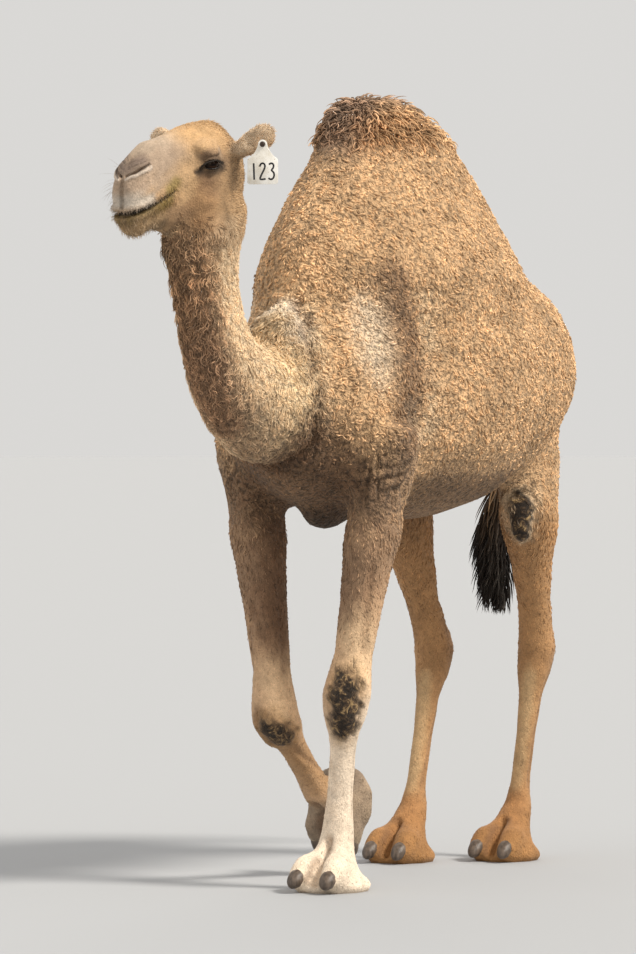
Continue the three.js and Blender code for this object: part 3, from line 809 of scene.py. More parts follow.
wrinkle_depth, wrinkle_half = 0.008, 0.0075
points = read(skin)
relief = sum(pad_relief(points, along_skin(line), 0.030, 0.005) for line in knee_pads.values())
relief += sum(pad_relief(points, along_skin(line), 0.033, 0.009) for line in stifle_pads.values())
relief += sum(high * oval(points, np.array(centre), reach) for centre, reach, high in leg_mounds)
for line, half_width, deep in leg_grooves:
    distance, _ = to_line(points, along_skin(line))
    relief -= deep * bell(distance, half_width)
local = on_body(skin)
for line in elbow_wrinkles:
    distance, _ = to_line(local, along_skin(line))
    relief -= wrinkle_depth * bell(distance, wrinkle_half)
push(skin, relief)

# %% Flat soles
sole_band = 0.004  # the tread's skin within this height of the floor is laid flat on it
points = read(skin)
standing = mixed(shares_of(skin), {"forefoot": 1, "hindfoot": 1}) > 0.5
lowest = points[standing, 2].min()
points[standing & (points[:, 2] < lowest + sole_band), 2] = 0.0
place(skin, points)

# %% Triangles only, smooth shaded
only(skin)
bpy.ops.object.mode_set(mode="EDIT")
bpy.ops.mesh.select_all(action="SELECT")
bpy.ops.mesh.quads_convert_to_tris()
bpy.ops.object.mode_set(mode="OBJECT")
bpy.ops.object.shade_smooth()
print("finished skin:", len(skin.data.polygons), "triangles")

# %% [markdown]
# # Markings
# Skin and coat have to agree on colour, so it is worked out once, on the skin's vertices, and every
# lock takes the colour of the skin at its root. Each part has a ground colour. Over it come washes:
# soft strokes of colour along a line, with a radius and a strength, in the body's or the head's frame.

# %% Colours
sand = (0.70, 0.440, 0.232)
pale_sand = (0.80, 0.570, 0.345)
cream = (0.78, 0.610, 0.410)
bone_white = (0.80, 0.66, 0.51)
umber = (0.150, 0.078, 0.040)
grey_brown = (0.250, 0.155, 0.095)
rust = (0.400, 0.190, 0.070)
dark_hide = (0.045, 0.032, 0.025)
soot = (0.016, 0.010, 0.008)
rosy_grey = (0.420, 0.310, 0.225)
nose_grey = (0.200, 0.145, 0.115)
lip_white = (0.600, 0.520, 0.430)
cud_green = (0.290, 0.205, 0.060)
face_tan = (0.50, 0.315, 0.160)
foot_rust = (0.36, 0.178, 0.062)
crest_brown = (0.340, 0.225, 0.155)
callus_brown = (0.11, 0.066, 0.036)

ground = {
    "trunk": sand,
    "hump": sand,
    "neck_lower": pale_sand,
    "neck_upper": (0.46, 0.30, 0.17),
    "head": face_tan,
    "lower_jaw": (0.40, 0.26, 0.13),
    "eye": face_tan,
    "ear": (0.70, 0.47, 0.27),
    "foreleg": (0.54, 0.340, 0.195),
    "forefoot_right": (0.33, 0.240, 0.160),
    "forefoot": bone_white,
    "hindleg": (0.41, 0.222, 0.096),
    "hindfoot": foot_rust,
    "tail_tuft": soot,
    "tail": (0.30, 0.18, 0.09),
    "toenail_fore": cream,
    "toenail_hind": foot_rust,
}


def mixed_colours(shares):
    total = np.zeros((len(next(iter(shares.values()))), 3))
    for name, share in shares.items():
        for word, colour in ground.items():
            if name.startswith(word):
                total += share[:, None] * np.array(colour)
                break
    return total


def ragged(points):
    """A wavy number from -1 to 1 that makes the edges of a wash uneven."""
    waves = np.array([(131, 0, 71), (0, 97, -113), (159, 87, 211)])  # radians to the metre
    return np.sin(points @ waves.T).mean(axis=1)


def wash(paint, points, line, reach, colour, strength):
    """Lays a soft stroke of colour along a line."""
    distance, _ = to_line(points, line)
    distance = np.maximum(distance + 0.22 * reach * ragged(points), 0)
    cover = strength * bell(distance, reach, 3)
    return paint + cover[:, None] * (np.array(colour) - paint)


body_washes = {  # line, reach, colour, strength
    "pale root of the neck": (
        [(0.03, -0.47, 1.44), (0.08, -0.52, 1.36), (0.11, -0.52, 1.25), (0.10, -0.50, 1.15)],
        0.085, (0.92, 0.680, 0.410), 0.95),
    "white on the root": ([(0.02, -0.42, 1.46), (0.10, -0.46, 1.40)], 0.034, (0.90, 0.76, 0.60), 0.7),
    # Painted shade in the crease where the neck bulges over the chest and shoulder.
    "shade on the edge of the neck": (neck_edge, 0.017, umber, 0.65),
    "pale shoulder": ([(0.20, -0.29, 1.44), (0.21, -0.29, 1.33)], 0.065, (0.88, 0.70, 0.50), 0.75),
    "second pale patch": ([(0.245, -0.19, 1.20), (0.25, -0.17, 1.14)], 0.035, cream, 0.5),
    # Painted shade along the back edge of the shoulder, beside the groove behind it.
    "shade at the back of the shoulder": (
        [(0.207, -0.209, 1.525), (0.228, -0.178, 1.40), (0.247, -0.172, 1.275), (0.271, -0.230, 1.15)],
        0.062, (0.175, 0.092, 0.050), 0.70),
    "ridge behind the band": (
        [(0.240, -0.110, 1.50), (0.264, -0.095, 1.30), (0.285, -0.120, 1.14)], 0.024, pale_sand, 0.8),
    "grey elbow": ([(0.26, -0.24, 1.06), (0.20, -0.28, 0.98)], 0.085, grey_brown, 0.75),
    # Painted shade under the trunk: on the breast, under the shoulder, on the lower flank and along the
    # belly.
    "breast": ([(0.00, -0.46, 1.07), (0.06, -0.30, 0.98)], 0.15, umber, 0.85),
    "shade under the shoulder": ([(0.10, -0.46, 1.13), (0.145, -0.36, 1.03)], 0.085, umber, 0.75),
    "shade on the lower flank": ([(0.25, 0.00, 0.95), (0.24, 0.34, 0.98)], 0.085, (0.24, 0.145, 0.080), 0.8),
    "shade along the belly": ([(0.00, -0.10, 0.90), (0.00, 0.35, 0.94)], 0.19, umber, 0.8),
    "front of the crest": ([(0.01, -0.20, 1.94), (0.00, -0.12, 1.98)], 0.085, crest_brown, 0.95),
    "rear of the crest": ([(0.00, -0.04, 2.01), (0.00, 0.14, 1.98)], 0.060, (0.30, 0.185, 0.12), 0.85),
    "ring under the crest": ([(0.08, -0.10, 1.90), (0.07, 0.12, 1.90)], 0.070, rust, 0.45),
    # Painted shade between the hind legs.
    "shade between the hind legs": ([(0.00, 0.55, 1.05), (0.00, 0.62, 0.95)], 0.14, umber, 0.7),
    "breast pad": ([(0.00, -0.24, 0.91), (0.00, -0.16, 0.90)], 0.07, dark_hide, 0.85),
}


# %% Paint the skin
def softened(piece, times=28):
    """The parts' shares with gradual borders, apart from those of the face."""
    sharp = shares_of(piece)
    of_face = mixed(sharp, {"ear": 1, "eye": 1, "lower_jaw": 1})
    of_face += mixed(sharp, {"head": 1}) * climb(to_head(read(piece))[:, 0], -0.06, 0.05)
    of_face = np.clip(of_face, 0, 1)
    edges = edges_of(piece)
    return {
        name: of_face * share + (1 - of_face) * blurred(share, edges, times)
        for name, share in sharp.items()
    }


shares = softened(skin)
paint = mixed_colours(shares)


def front_share(out):
    """1 where the skin faces forward, falling to nothing on the nape."""
    return climb(-out[:, 1], 0.28, 0.45)


def neck_share_of(piece, shares):
    """How far each vertex belongs to the neck, the top of it behind the jaw too."""
    local = to_head(read(piece))
    below_jaw = climb(-local[:, 2], 0.110, 0.070) * climb(-local[:, 0], -0.085, 0.03)
    return np.clip(mixed(shares, {"neck": 1}) + mixed(shares, {"head": 1}) * below_jaw, 0, 1)


neck_share = neck_share_of(skin, shares)
# The front of the neck is painted browner, darkest low down: partly the hair's own colour, partly
# painted shade.
browned_and_shaded_front = front_share(read(skin, "normal")) * neck_share
up_neck = climb(read(skin)[:, 2], 1.35, 0.30)[:, None]
front_brown_and_shade = (1 - up_neck) * np.array((0.290, 0.155, 0.082)) + up_neck * np.array((0.660, 0.375, 0.190))
neck_side = np.array((0.88, 0.650, 0.410))
paint += neck_share[:, None] * 0.85 * (neck_side - paint)
# Front of the neck: own browner colour and painted shade together.
paint += 0.90 * browned_and_shaded_front[:, None] * (front_brown_and_shade - paint)
local = on_body(skin)
for line, reach, colour, strength in body_washes.values():
    paint = wash(paint, local, along_skin(line), reach, colour, strength)

# %% [markdown]
# The legs differ from each other: the left foreleg is nearly white from the knee down, the hind legs
# are rusty with a pale streak down the front of the shank, and every joint that touches the ground
# when the animal kneels carries a dark, bare callus.

# %% Leg markings
knee, low = fore_knees["left"], fetlocks["foreleg_left"]
leg_washes = [  # line, reach, colour, strength
    ([beside(knee, z=-0.05), beside(low, z=-0.12)], 0.10, bone_white, 0.95),
    ([beside(knee, x=0.03, y=-0.01, z=0.18), beside(knee, x=0.03, z=0.06)], 0.06, pale_sand, 0.6),
]
knee, low = fore_knees["right"], fetlocks["foreleg_right"]
leg_washes += [
    ([beside(knee, z=0.10), beside(knee, z=0.02)], 0.07, pale_sand, 0.5),
    ([beside(knee, y=-0.045, z=-0.010), beside(knee, y=-0.030, z=-0.060)], 0.036, umber, 0.85),
    ([beside(knee, y=0.06, z=-0.07), beside(low, z=0.02)], 0.06, (0.37, 0.210, 0.092), 0.85),
    ([beside(low, y=0.10, z=0.03), beside(low, y=0.10, z=-0.12)], 0.07, (0.16, 0.12, 0.09), 0.8),
]
for side in ("left", "right"):
    hock, low = hocks[side], fetlocks["hindleg_" + side]
    leg_washes += [
        ([beside(hock, y=-0.045, z=-0.07), beside(low, y=-0.03, z=0.06)],
         0.022, (0.62, 0.42, 0.22), 0.75),
        ([beside(hock, y=0.02, z=0.06), beside(hock, y=0.02, z=-0.03)], 0.050, umber, 0.45),
        ([beside(low, y=-0.04, z=0.0), beside(low, y=-0.06, z=-0.09)], 0.060, rust, 0.6),
    ]
for front, side in (("foreleg_left", 1), ("foreleg_right", -1)):
    knee = fore_knees[front.split("_")[1]]
    top = (side * 0.215, -0.262, 0.880)
    leg_washes += [
        ([top, beside(knee, x=side * 0.02, z=0.29)], 0.085, (0.23, 0.140, 0.084), 0.72),
        # Painted shade on the inner side of each upper foreleg, deeper on the right leg, away from the
        # key light.
        ([beside(top, x=-side * 0.09, y=0.02), beside(knee, x=-side * 0.03, z=0.22)], 0.075, umber,
         0.65 if side > 0 else 0.9),
    ]
for side, line in stifle_pads.items():
    leg_washes += [(line, 0.056, cream, 0.8), (line, 0.038, dark_hide, 0.95)]
for side, line in knee_pads.items():
    leg_washes += [(line, 0.052, (0.52, 0.30, 0.12), 0.6), (line, 0.036, callus_brown, 0.9)]
# Painted shade in the leg grooves, deeper between the toes, and in the folds of the elbows.
for line, half_width, deep in leg_grooves:
    leg_washes.append((line, half_width * 1.2, umber, 0.55 if deep > toe_groove else 0.30))
for line in elbow_wrinkles:
    leg_washes.append((line, 0.0070, (0.08, 0.045, 0.024), 0.6))
points = read(skin)
for line, reach, colour, strength in leg_washes:
    paint = wash(paint, points, along_skin(line), reach, colour, strength)

# %% Head markings
face_washes = {  # line in f, l and t; reach, colour, strength
    "neck behind the jaw": ([(-0.05, 0.07, -0.16), (0.05, 0.03, -0.19)], 0.05, (0.30, 0.20, 0.12), 0.6),
    "muzzle": ([(0.120, 0.02, 0.02), (0.220, 0.02, -0.06)], 0.072, rosy_grey, 0.9),
    "bridge": ([(0.070, 0.0, 0.065), (0.170, 0.0, 0.050)], 0.040, (0.52, 0.40, 0.29), 0.8),
    "forehead": ([(0.030, 0.02, 0.090), (-0.080, 0.03, 0.110)], 0.055, (0.54, 0.325, 0.145), 0.7),
    "brow": (
        [(0.012, 0.08, 0.024), (-0.010, 0.085, 0.028), (-0.034, 0.09, 0.026), (-0.054, 0.088, 0.010)],
        0.018, (0.235, 0.150, 0.095), 0.85),
    # A painted highlight along the brow.
    "painted highlight on the brow": ([(-0.02, 0.09, 0.035), (-0.044, 0.09, 0.02)], 0.007, (0.55, 0.40, 0.27), 0.6),
    "cheek": ([(0.070, 0.06, -0.020), (0.045, 0.07, -0.070)], 0.034, (0.50, 0.32, 0.165), 0.7),
    "jaw muscle": ([(0.000, 0.08, -0.075), (0.020, 0.07, -0.125)], 0.052, (0.305, 0.168, 0.076), 0.85),
    "under the jaw": ([(0.06, 0.05, -0.125), (0.10, 0.04, -0.135)], 0.034, (0.28, 0.165, 0.085), 0.75),
    # Painted shade below the heavy upper lid and brow: dark under the eye, fading to brown lower down.
    "under the eye": (
        [(0.022, 0.07, -0.022), (0.000, 0.08, -0.028), (-0.024, 0.085, -0.024)],
        0.017, (0.085, 0.050, 0.030), 0.88),
    "brown under the eye": (
        [(0.010, 0.08, -0.048), (-0.020, 0.085, -0.052)], 0.024, (0.24, 0.135, 0.068), 0.8),
    "behind the eye": ([(-0.045, 0.085, -0.01), (-0.060, 0.08, -0.09)], 0.034, (0.50, 0.31, 0.16), 0.6),
    "before the ear": ([(-0.078, 0.09, 0.03), (-0.085, 0.09, -0.04)], 0.024, (0.26, 0.16, 0.09), 0.35),
    "inside the ear": ([(-0.072, 0.12, 0.05), (-0.08, 0.165, 0.075)], 0.028, (0.86, 0.68, 0.48), 0.85),
    # Dark lid skin round the eye, widened by painted shade from the lashes and brow.
    "dark lids and painted shade": (
        [(0.010, 0.094, 0.000), (-0.005, 0.098, 0.001), (-0.020, 0.096, 0.001), (-0.036, 0.092, 0.000)],
        0.0190, soot, 0.98),
    "tear mark": ([(0.026, 0.082, -0.008), (0.038, 0.070, -0.018)], 0.007, (0.03, 0.02, 0.014), 0.9),
    "nose pad": ([(0.222, 0.006, -0.010), (0.196, 0.030, 0.006)], 0.021, nose_grey, 0.85),
    "upper lip": ([(0.238, 0.010, -0.098), (0.190, 0.050, -0.092)], 0.019, lip_white, 0.85),
    "corner of the mouth": ([(0.120, 0.06, -0.066), (0.100, 0.06, -0.048)], 0.018, cud_green, 0.8),
    "lower lip": ([(0.215, 0.015, -0.136), (0.120, 0.06, -0.088)], 0.016, (0.26, 0.175, 0.050), 0.85),
    "chin": ([(0.190, 0.0, -0.170), (0.120, 0.03, -0.160)], 0.028, (0.23, 0.150, 0.075), 0.85),
}
local = on_face(skin)
on_head = mixed(shares, {"head": 1, "lower_jaw": 1, "eye": 1, "ear": 1, "neck_upper": 0.6})
on_head = np.clip(on_head, 0, 1)
for line, reach, colour, strength in face_washes.values():
    paint = wash(paint, local, laid_on_skin(line), reach, colour, strength * on_head)
above, ahead = past_lip_line(local)
# The gap between the lips is painted near black: partly the lips' dark wet inside, partly painted
# shade.
lip_gap_dark_and_shade = bell(above, gap_height_at(ahead) * 1.15, 4) * (ahead > 0.02) * head_share_of(shares)
paint += lip_gap_dark_and_shade[:, None] * (np.array(soot) - paint)
slit, _ = to_line(local, laid_on_skin(nostril))
slit_shade = bell(slit, 0.0034)
rim, _ = to_line(local, laid_on_skin(nostril_rim))
on_rim = bell(rim, 0.0048, 4) * 0.9
paint += on_rim[:, None] * (np.array((0.70, 0.58, 0.47)) - paint)
# Painted shade: the nostril slits are painted near black.
paint += slit_shade[:, None] * (np.array(soot) - paint)
cleft, _ = to_line(local, laid_on_skin(philtrum))
# Painted shade: the cleft of the upper lip is darkened.
paint *= 1 - 0.45 * bell(cleft, 0.003)[:, None]
paint *= 1 - 0.08 * on_head[:, None]
paint = np.clip(paint, 0.002, 1)


def store_colour(piece, colours):
    """Keeps one colour for each vertex, which the materials read by its name."""
    kept = piece.data.color_attributes.new("coat colour", "FLOAT_COLOR", "POINT")
    rows = np.ones((len(piece.data.vertices), 4))
    rows[:, :3] = colours
    kept.data.foreach_set("color", rows.ravel())


wool_reach = {"trunk": 1, "hump": 1, "neck_lower": 1, "neck_upper": 0.7, "tail_tuft": 0.5}
under_wool = mixed(shares, wool_reach)
# The skin under the wool is painted a little darker, as painted shade beneath the coat.
store_colour(skin, paint * (1 - 0.05 * under_wool[:, None]))
woolly = skin.data.attributes.new("wool", "FLOAT", "POINT")
woolly.data.foreach_set("value", under_wool)
pads = [along_skin(line) for line in (*knee_pads.values(), *stifle_pads.values())]
callus_radii = (0.041, 0.031, 0.036, 0.036)
points = read(skin)
uneven = 1 + 0.42 * ragged(points)
horny = [bell(to_line(points, line)[0] * uneven, radius, 6) for line, radius in zip(pads, callus_radii)]
horny = np.max(horny, axis=0)
callus = skin.data.attributes.new("callus", "FLOAT", "POINT")
callus.data.foreach_set("value", horny)

# %% [markdown]
# # An unwrap of the skin
# Each lock needs a place on a flat map, so that its colour can be baked: a small patch where its root
# sits on an unwrap of the skin. Smart Project cuts the skin by its own shape.

# %% Unwrap
bpy.ops.object.mode_set(mode="EDIT")
bpy.ops.mesh.select_all(action="SELECT")
bpy.ops.uv.smart_project(angle_limit=1.15, island_margin=0.001)
bpy.ops.object.mode_set(mode="OBJECT")
skin.data.uv_layers[0].name = "OFBake"

# %% [markdown]
# # Materials of hide and hair
# Both read the painted colour, break it up with noise at three scales, and have no gloss to speak of.
# The hide adds fine bumps, lumps of felt under the wool with painted shade in the hollows between
# them, and a flaking crust on the calluses. Both have a little sheen, as wool has at its edges.

# %% Coat and hide
def finish(name, roughness, sheen=0.0, bump=0.0, bump_scale=400.0, mottle=0.25, gloss=0.3, felt=0.0):
    """A material that reads the painted colour and mottles it. "felt" is the height of wool's lumps."""
    looks = {
        "Roughness": roughness,
        "Specular IOR Level": gloss,
        "Sheen Weight": sheen,
        "Sheen Roughness": 0.5,
        "Sheen Tint": (1.0, 0.86, 0.70, 1),
    }
    made, tree = new_material(name, looks)
    where = coordinates(tree)

    def attribute(word, output="Fac"):
        return add_node(tree, "Attribute", {}, attribute_name=word).outputs[output]

    def scaled(colour, factor):
        inputs = {0: colour, "Scale": factor}
        return add_node(tree, "VectorMath", inputs, operation="SCALE").outputs["Vector"]

    colour = attribute("coat colour", "Color")
    for scale, strength in ((9.0, mottle), (60.0, mottle * 0.7), (330.0, mottle)):
        noise = add_noise(tree, where, scale, 3)
        colour = scaled(colour, add_spread(tree, noise, 0.3, 0.7, 1 - strength, 1 + strength))
    height = None
    if bump:
        height = add_noise(tree, add_stretch(tree, where, (1.0, 0.35, 0.5)), bump_scale, 4)
    if felt:
        lumps = add_noise(tree, where, 95, 2.5, Roughness=0.55, Distortion=0.6)
        woolly = attribute("wool")
        # Under the wool the hollows between the lumps of felt are darkened: painted shade.
        felt_hollow_shade = add_spread(tree, lumps, 0.36, 0.56, -0.62, 0.05)
        colour = scaled(colour, add_sum(tree, "MULTIPLY_ADD", felt_hollow_shade, woolly, 1.0))
        flakes = add_noise(tree, where, 48, 5, Roughness=0.65, Distortion=1.2)
        horny = attribute("callus")
        dark, pale, brown = (0.020, 0.012, 0.007), (0.55, 0.36, 0.16), (0.095, 0.055, 0.028)
        crust = add_ramp(tree, flakes, [(0.44, dark), (0.66, pale), (0.54, brown)])
        colour = add_cover(tree, horny, colour, crust)
        for bumps, share, high in ((lumps, woolly, felt), (flakes, horny, felt * 1.2)):
            raised = add_sum(tree, "MULTIPLY", bumps, share)
            height = add_sum(tree, "MULTIPLY_ADD", raised, high / bump, height)
    surface(tree, colour, height, bump)
    return made


hide = finish("hide", 0.8, sheen=0.10, bump=0.003, bump_scale=380, mottle=0.18, felt=0.020)
wool = finish("wool", 0.85, sheen=0.12, mottle=0.20)
skin.data.materials.clear()
skin.data.materials.append(hide)
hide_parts(*flesh)
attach(skin, "root")

# %% [markdown]
# # Growing locks
# Hair curves and particles aren't kept by an export, so every lock is solid: a thin three-sided shoot,
# closed at its root and drawn to a point. A lock's whole shape comes from how its heading changes on
# the way: it rises from the skin, falls back to it, turns in a whorl or swings from side to side. One
# function lays the heading out for thousands of locks at once and joins them in one mesh.

# %% Seeds on the skin
skin_corners = read(skin, "vertices", "polygons", 3).astype(int)
skin_points = read(skin)
skin_normals = read(skin, "normal")
skin_map = np.empty(len(skin.data.loops) * 2)
skin.data.uv_layers[0].data.foreach_get("uv", skin_map)
skin_map = skin_map.reshape(-1, 3, 2)
a, b, c = (skin_points[skin_corners[:, n]] for n in range(3))
skin_areas = np.linalg.norm(np.cross(b - a, c - a), axis=1) / 2


crowding = 3.2  # roots tried for each one that has room
clump_radius = 0.62  # as a share of the clumps' spacing


def unit(vectors):
    return vectors / np.maximum(np.linalg.norm(vectors, axis=-1, keepdims=True), 1e-9)


def thinned(points, spacing):
    """The numbers of points that stay when no two may be closer than the spacing."""
    tree = kdtree.KDTree(len(points))
    for index, point in enumerate(points):
        tree.insert(point, index)
    tree.balance()
    free = np.ones(len(points), bool)
    for index in range(len(points)):
        if free[index]:
            for _, other, _ in tree.find_range(points[index], spacing):
                if other > index:
                    free[other] = False
    return np.flatnonzero(free)


def gathered(seeds, spacing):
    """Adds to each seed the way to the middle of its clump, and how far out in the clump it is."""
    roots = seeds["root"]
    middles = roots[thinned(roots, spacing)]
    tree = kdtree.KDTree(len(middles))
    for index, point in enumerate(middles):
        tree.insert(point, index)
    tree.balance()
    toward = np.array([tree.find(root)[0] for root in roots]) - roots
    edge = np.clip(np.linalg.norm(toward, axis=1) / (clump_radius * spacing), 0, 1)
    return {**seeds, "toward": toward, "edge": edge}


def scatter(where, spacing, seed, lie=None):
    """Roots about one spacing apart, on the skin where the weight "where" is above nothing."""
    random = np.random.default_rng(seed)
    weight = where[skin_corners].mean(axis=1)
    chance = skin_areas * np.clip(weight, 0, 1)
    count = int(crowding * chance.sum() / spacing**2)
    face = random.choice(len(skin_corners), count, p=chance / chance.sum())
    u, v = random.random((2, count))
    over = u + v > 1
    u[over], v[over] = 1 - u[over], 1 - v[over]
    share = np.column_stack([1 - u - v, u, v])
    root = np.einsum("nk,nkd->nd", share, skin_points[skin_corners[face]])
    kept = thinned(root, spacing)
    corners = skin_corners[face[kept]]
    share = share[kept]

    def blend(values):
        return np.einsum("nk,nkd->nd", share, values[corners])

    return {
        "root": root[kept],
        "out": unit(blend(skin_normals)),
        "paint": blend(paint),
        "lie": blend(coat_lie if lie is None else lie),
        "map": np.einsum("nk,nkd->nd", share, skin_map[face[kept]]),
        "weight": blend(np.clip(where, 0, 1)[:, None])[:, 0],
        "random": random,
    }


# %% The lie of the coat
hair_lie = {  # the way the hair points on each part, in the frame's own directions
    "trunk": (0, 0.75, -0.65),
    "hump": (0, 0.75, -0.65),
    "neck_lower": (0, 0.35, -0.95),
    "neck_upper": (0, 0.05, -1),
    "head": (0, 0.96, 0.12),
    "lower_jaw": (0, 0.90, -0.40),
    "eye": (0, 1, -0.1),
    "ear_left": (0.85, 0.10, 0.45),
    "ear_right": (-0.85, 0.10, 0.45),
    "tail": (-0.2, 0, -1),
    "forefoot": (0, -0.35, -0.95),
    "hindfoot": (0, -0.45, -0.90),
    "": (0, 0.05, -1),
}
coat_lie = np.column_stack(
    [mixed(shares, {word: way[n] for word, way in hair_lie.items()}) for n in range(3)])
hangs = neck_share[:, None]
coat_lie = unit(coat_lie * (1 - hangs) + hangs * np.array((0, 0.15, -1)))

# %% Grow locks
lock_sides = 3
patch = 0.003  # width of a lock's place on the unwrap
brightest = 0.90  # no lock's colour is brighter than this


def grow(name, seeds, length, width, rise, fall, turn=0.0, wave=0.0, waves=1.5, heading=0.3,
         together=0.0, rings=6, flat=1.0, root_in_shade=0.55, tip_bleach_and_highlight=1.12, sink=0.002, vary=0.25,
         tone=0.14, pull=0.0, gap=0.0):
    """One piece of solid locks, one for each seed. Lengths are in metres and angles in radians.

    The heading starts "rise" above the skin and ends at "fall". Sideways it is off by about "heading",
    bends by "turn" and swings "waves" times by "wave"; "together" makes neighbours bend alike. "flat"
    is thickness over width, "sink" the root's depth in the skin. Locks differ by "vary" in size and by
    "tone" in brightness. "pull" draws the tip to the clump's middle, "gap" darkens the clump's edge as
    painted shade and lightens its middle as painted highlight. From root to tip the skin's colour is
    scaled from darker, as painted shade deep in the coat, to lighter, partly as sun-bleached hair and
    partly as painted highlight.
    """
    random = seeds["random"]
    count = len(seeds["root"])

    def each(value, spread=vary):
        return (value * (1 + spread * random.uniform(-1, 1, count)))[:, None]

    share = (np.arange(rings) + 0.5) / rings
    length, width = each(length), each(width)
    tilt = each(rise) + (fall - each(rise)) * share
    sense = random.choice([-1.0, 1.0], count)[:, None]
    x, y, z = seeds["root"].T
    flow = 2.2 * np.sin(41 * x + 23 * z) + 1.9 * np.sin(37 * y - 29 * z) + 1.4 * np.sin(83 * z + 51 * x)
    phase = (together * flow + (1 - together) * random.uniform(0, 2 * np.pi, count))[:, None]
    start = (random.normal(0, heading, count) + 0.55 * together * np.sin(1.7 * flow + 1))[:, None]
    bend = start + each(turn) * sense * share + each(wave) * np.sin(2 * np.pi * waves * share + phase)
    out = seeds["out"]
    ahead = unit(seeds["lie"] - (seeds["lie"] * out).sum(1, keepdims=True) * out)
    beside_it = np.cross(out, ahead)
    step = length / rings
    way = (
        (step * np.cos(tilt) * np.cos(bend))[..., None] * ahead[:, None]
        + (step * np.cos(tilt) * np.sin(bend))[..., None] * beside_it[:, None]
        + (step * np.sin(tilt))[..., None] * out[:, None]
    )
    path = np.concatenate([np.zeros((count, 1, 3)), np.cumsum(way, axis=1)], axis=1)
    path += (seeds["root"] - out * sink)[:, None]
    if pull:
        drawn = (np.arange(rings + 1) / rings) ** 1.3 * pull
        path += drawn[None, :, None] * seeds["toward"][:, None]
    along = unit(np.concatenate([way[:, :1], (way[:, :-1] + way[:, 1:]) / 2], axis=1))
    across = unit(np.cross(along, out[:, None]))
    upward = np.cross(across, along)
    ring_share = np.arange(rings) / rings
    swell = np.minimum(1, 0.55 + 1.8 * ring_share) * (1 - ring_share**2.4)
    corner = np.pi / 2 + 2 * np.pi * np.arange(lock_sides) / lock_sides
    offset = (
        np.cos(corner)[:, None] * across[:, :, None]
        + flat * np.sin(corner)[:, None] * upward[:, :, None]
    )
    rims = path[:, :-1, None] + offset * (width * swell)[..., None, None]
    points = np.concatenate([rims.reshape(count, -1, 3), path[:, -1:]], axis=1)

    faces = [(0, 2, 1)]
    for ring in range(rings - 1):
        for side in range(lock_sides):
            low, near = ring * lock_sides + side, ring * lock_sides + (side + 1) % lock_sides
            faces += [(low, near, near + lock_sides), (low, near + lock_sides, low + lock_sides)]
    last = (rings - 1) * lock_sides
    tip = rings * lock_sides
    faces += [(last + side, last + (side + 1) % lock_sides, tip) for side in range(lock_sides)]
    per_lock = rings * lock_sides + 1
    corners = (np.array(faces)[None] + per_lock * np.arange(count)[:, None, None]).reshape(-1, 3)

    along_share = np.append(np.repeat(ring_share, lock_sides), 1.0)
    # The root is darkened as painted shade deep in the coat; the tip is lightened, partly as
    # sun-bleached hair and partly as painted highlight.
    shade = root_in_shade + (tip_bleach_and_highlight - root_in_shade) * np.minimum(1, along_share * 1.25)
    own = 1 + tone * random.uniform(-1, 1, count)
    # Locks at a clump's edge are darkened as painted shade between clumps, those near its middle
    # lightened as painted highlight.
    if np.any(gap):
        own = own * (1 + 0.35 * gap - gap * seeds["edge"] ** 2)
    colours = seeds["paint"][:, None] * shade[:, None] * own[:, None, None]
    colours /= np.maximum(1, colours.max(axis=-1, keepdims=True) / brightest)
    sideways = np.append(np.tile(np.arange(lock_sides) / (lock_sides - 1), rings), 0.5)
    flat_map = seeds["map"][:, None] + patch * (np.column_stack([sideways, along_share]) - 0.5)

    mesh = bpy.data.meshes.new(name)
    mesh.vertices.add(count * per_lock)
    mesh.vertices.foreach_set("co", points.ravel())
    mesh.loops.add(corners.size)
    mesh.loops.foreach_set("vertex_index", corners.ravel())
    mesh.polygons.add(len(corners))
    mesh.polygons.foreach_set("loop_start", np.arange(0, corners.size, 3))
    mesh.update(calc_edges=True)
    mesh.polygons.foreach_set("use_smooth", np.ones(len(corners), bool))
    uv = mesh.uv_layers.new(name="OFBake")
    uv.data.foreach_set("uv", flat_map.reshape(-1, 2)[corners.ravel()].ravel())
    piece = bpy.data.objects.new(name, mesh)
    bpy.context.scene.collection.objects.link(piece)
    store_colour(piece, np.clip(colours.reshape(-1, 3), 0.001, 1))
    mesh.materials.append(wool)
    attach(piece, "root")
    print(f"{name}: {count} locks, {len(corners)} triangles")
    return piece


def split(seeds, names, direction=(0, 1, 0)):
    """Deals the seeds out to several pieces, in order along a direction."""
    order = np.argsort(seeds["root"] @ np.array(direction, float))
    for name, part in zip(names, np.array_split(order, len(names))):
        dealt = {key: value[part] for key, value in seeds.items() if key != "random"}
        yield name, {**dealt, "random": seeds["random"]}


# %% [markdown]
# # The wool of the trunk
# A dromedary's summer wool is a felt of small clumps, each about as big as a thumbnail. Every clump
# here is a handful of short locks that rise, turn and dip back, all drawn to the clump's middle. The
# locks at its edge are darker, as painted shade that parts the clumps, and each lock is darker at its
# root, as painted shade deep in the wool. At this size three corners and two rings are enough, so that
# tens of thousands of locks stay light.

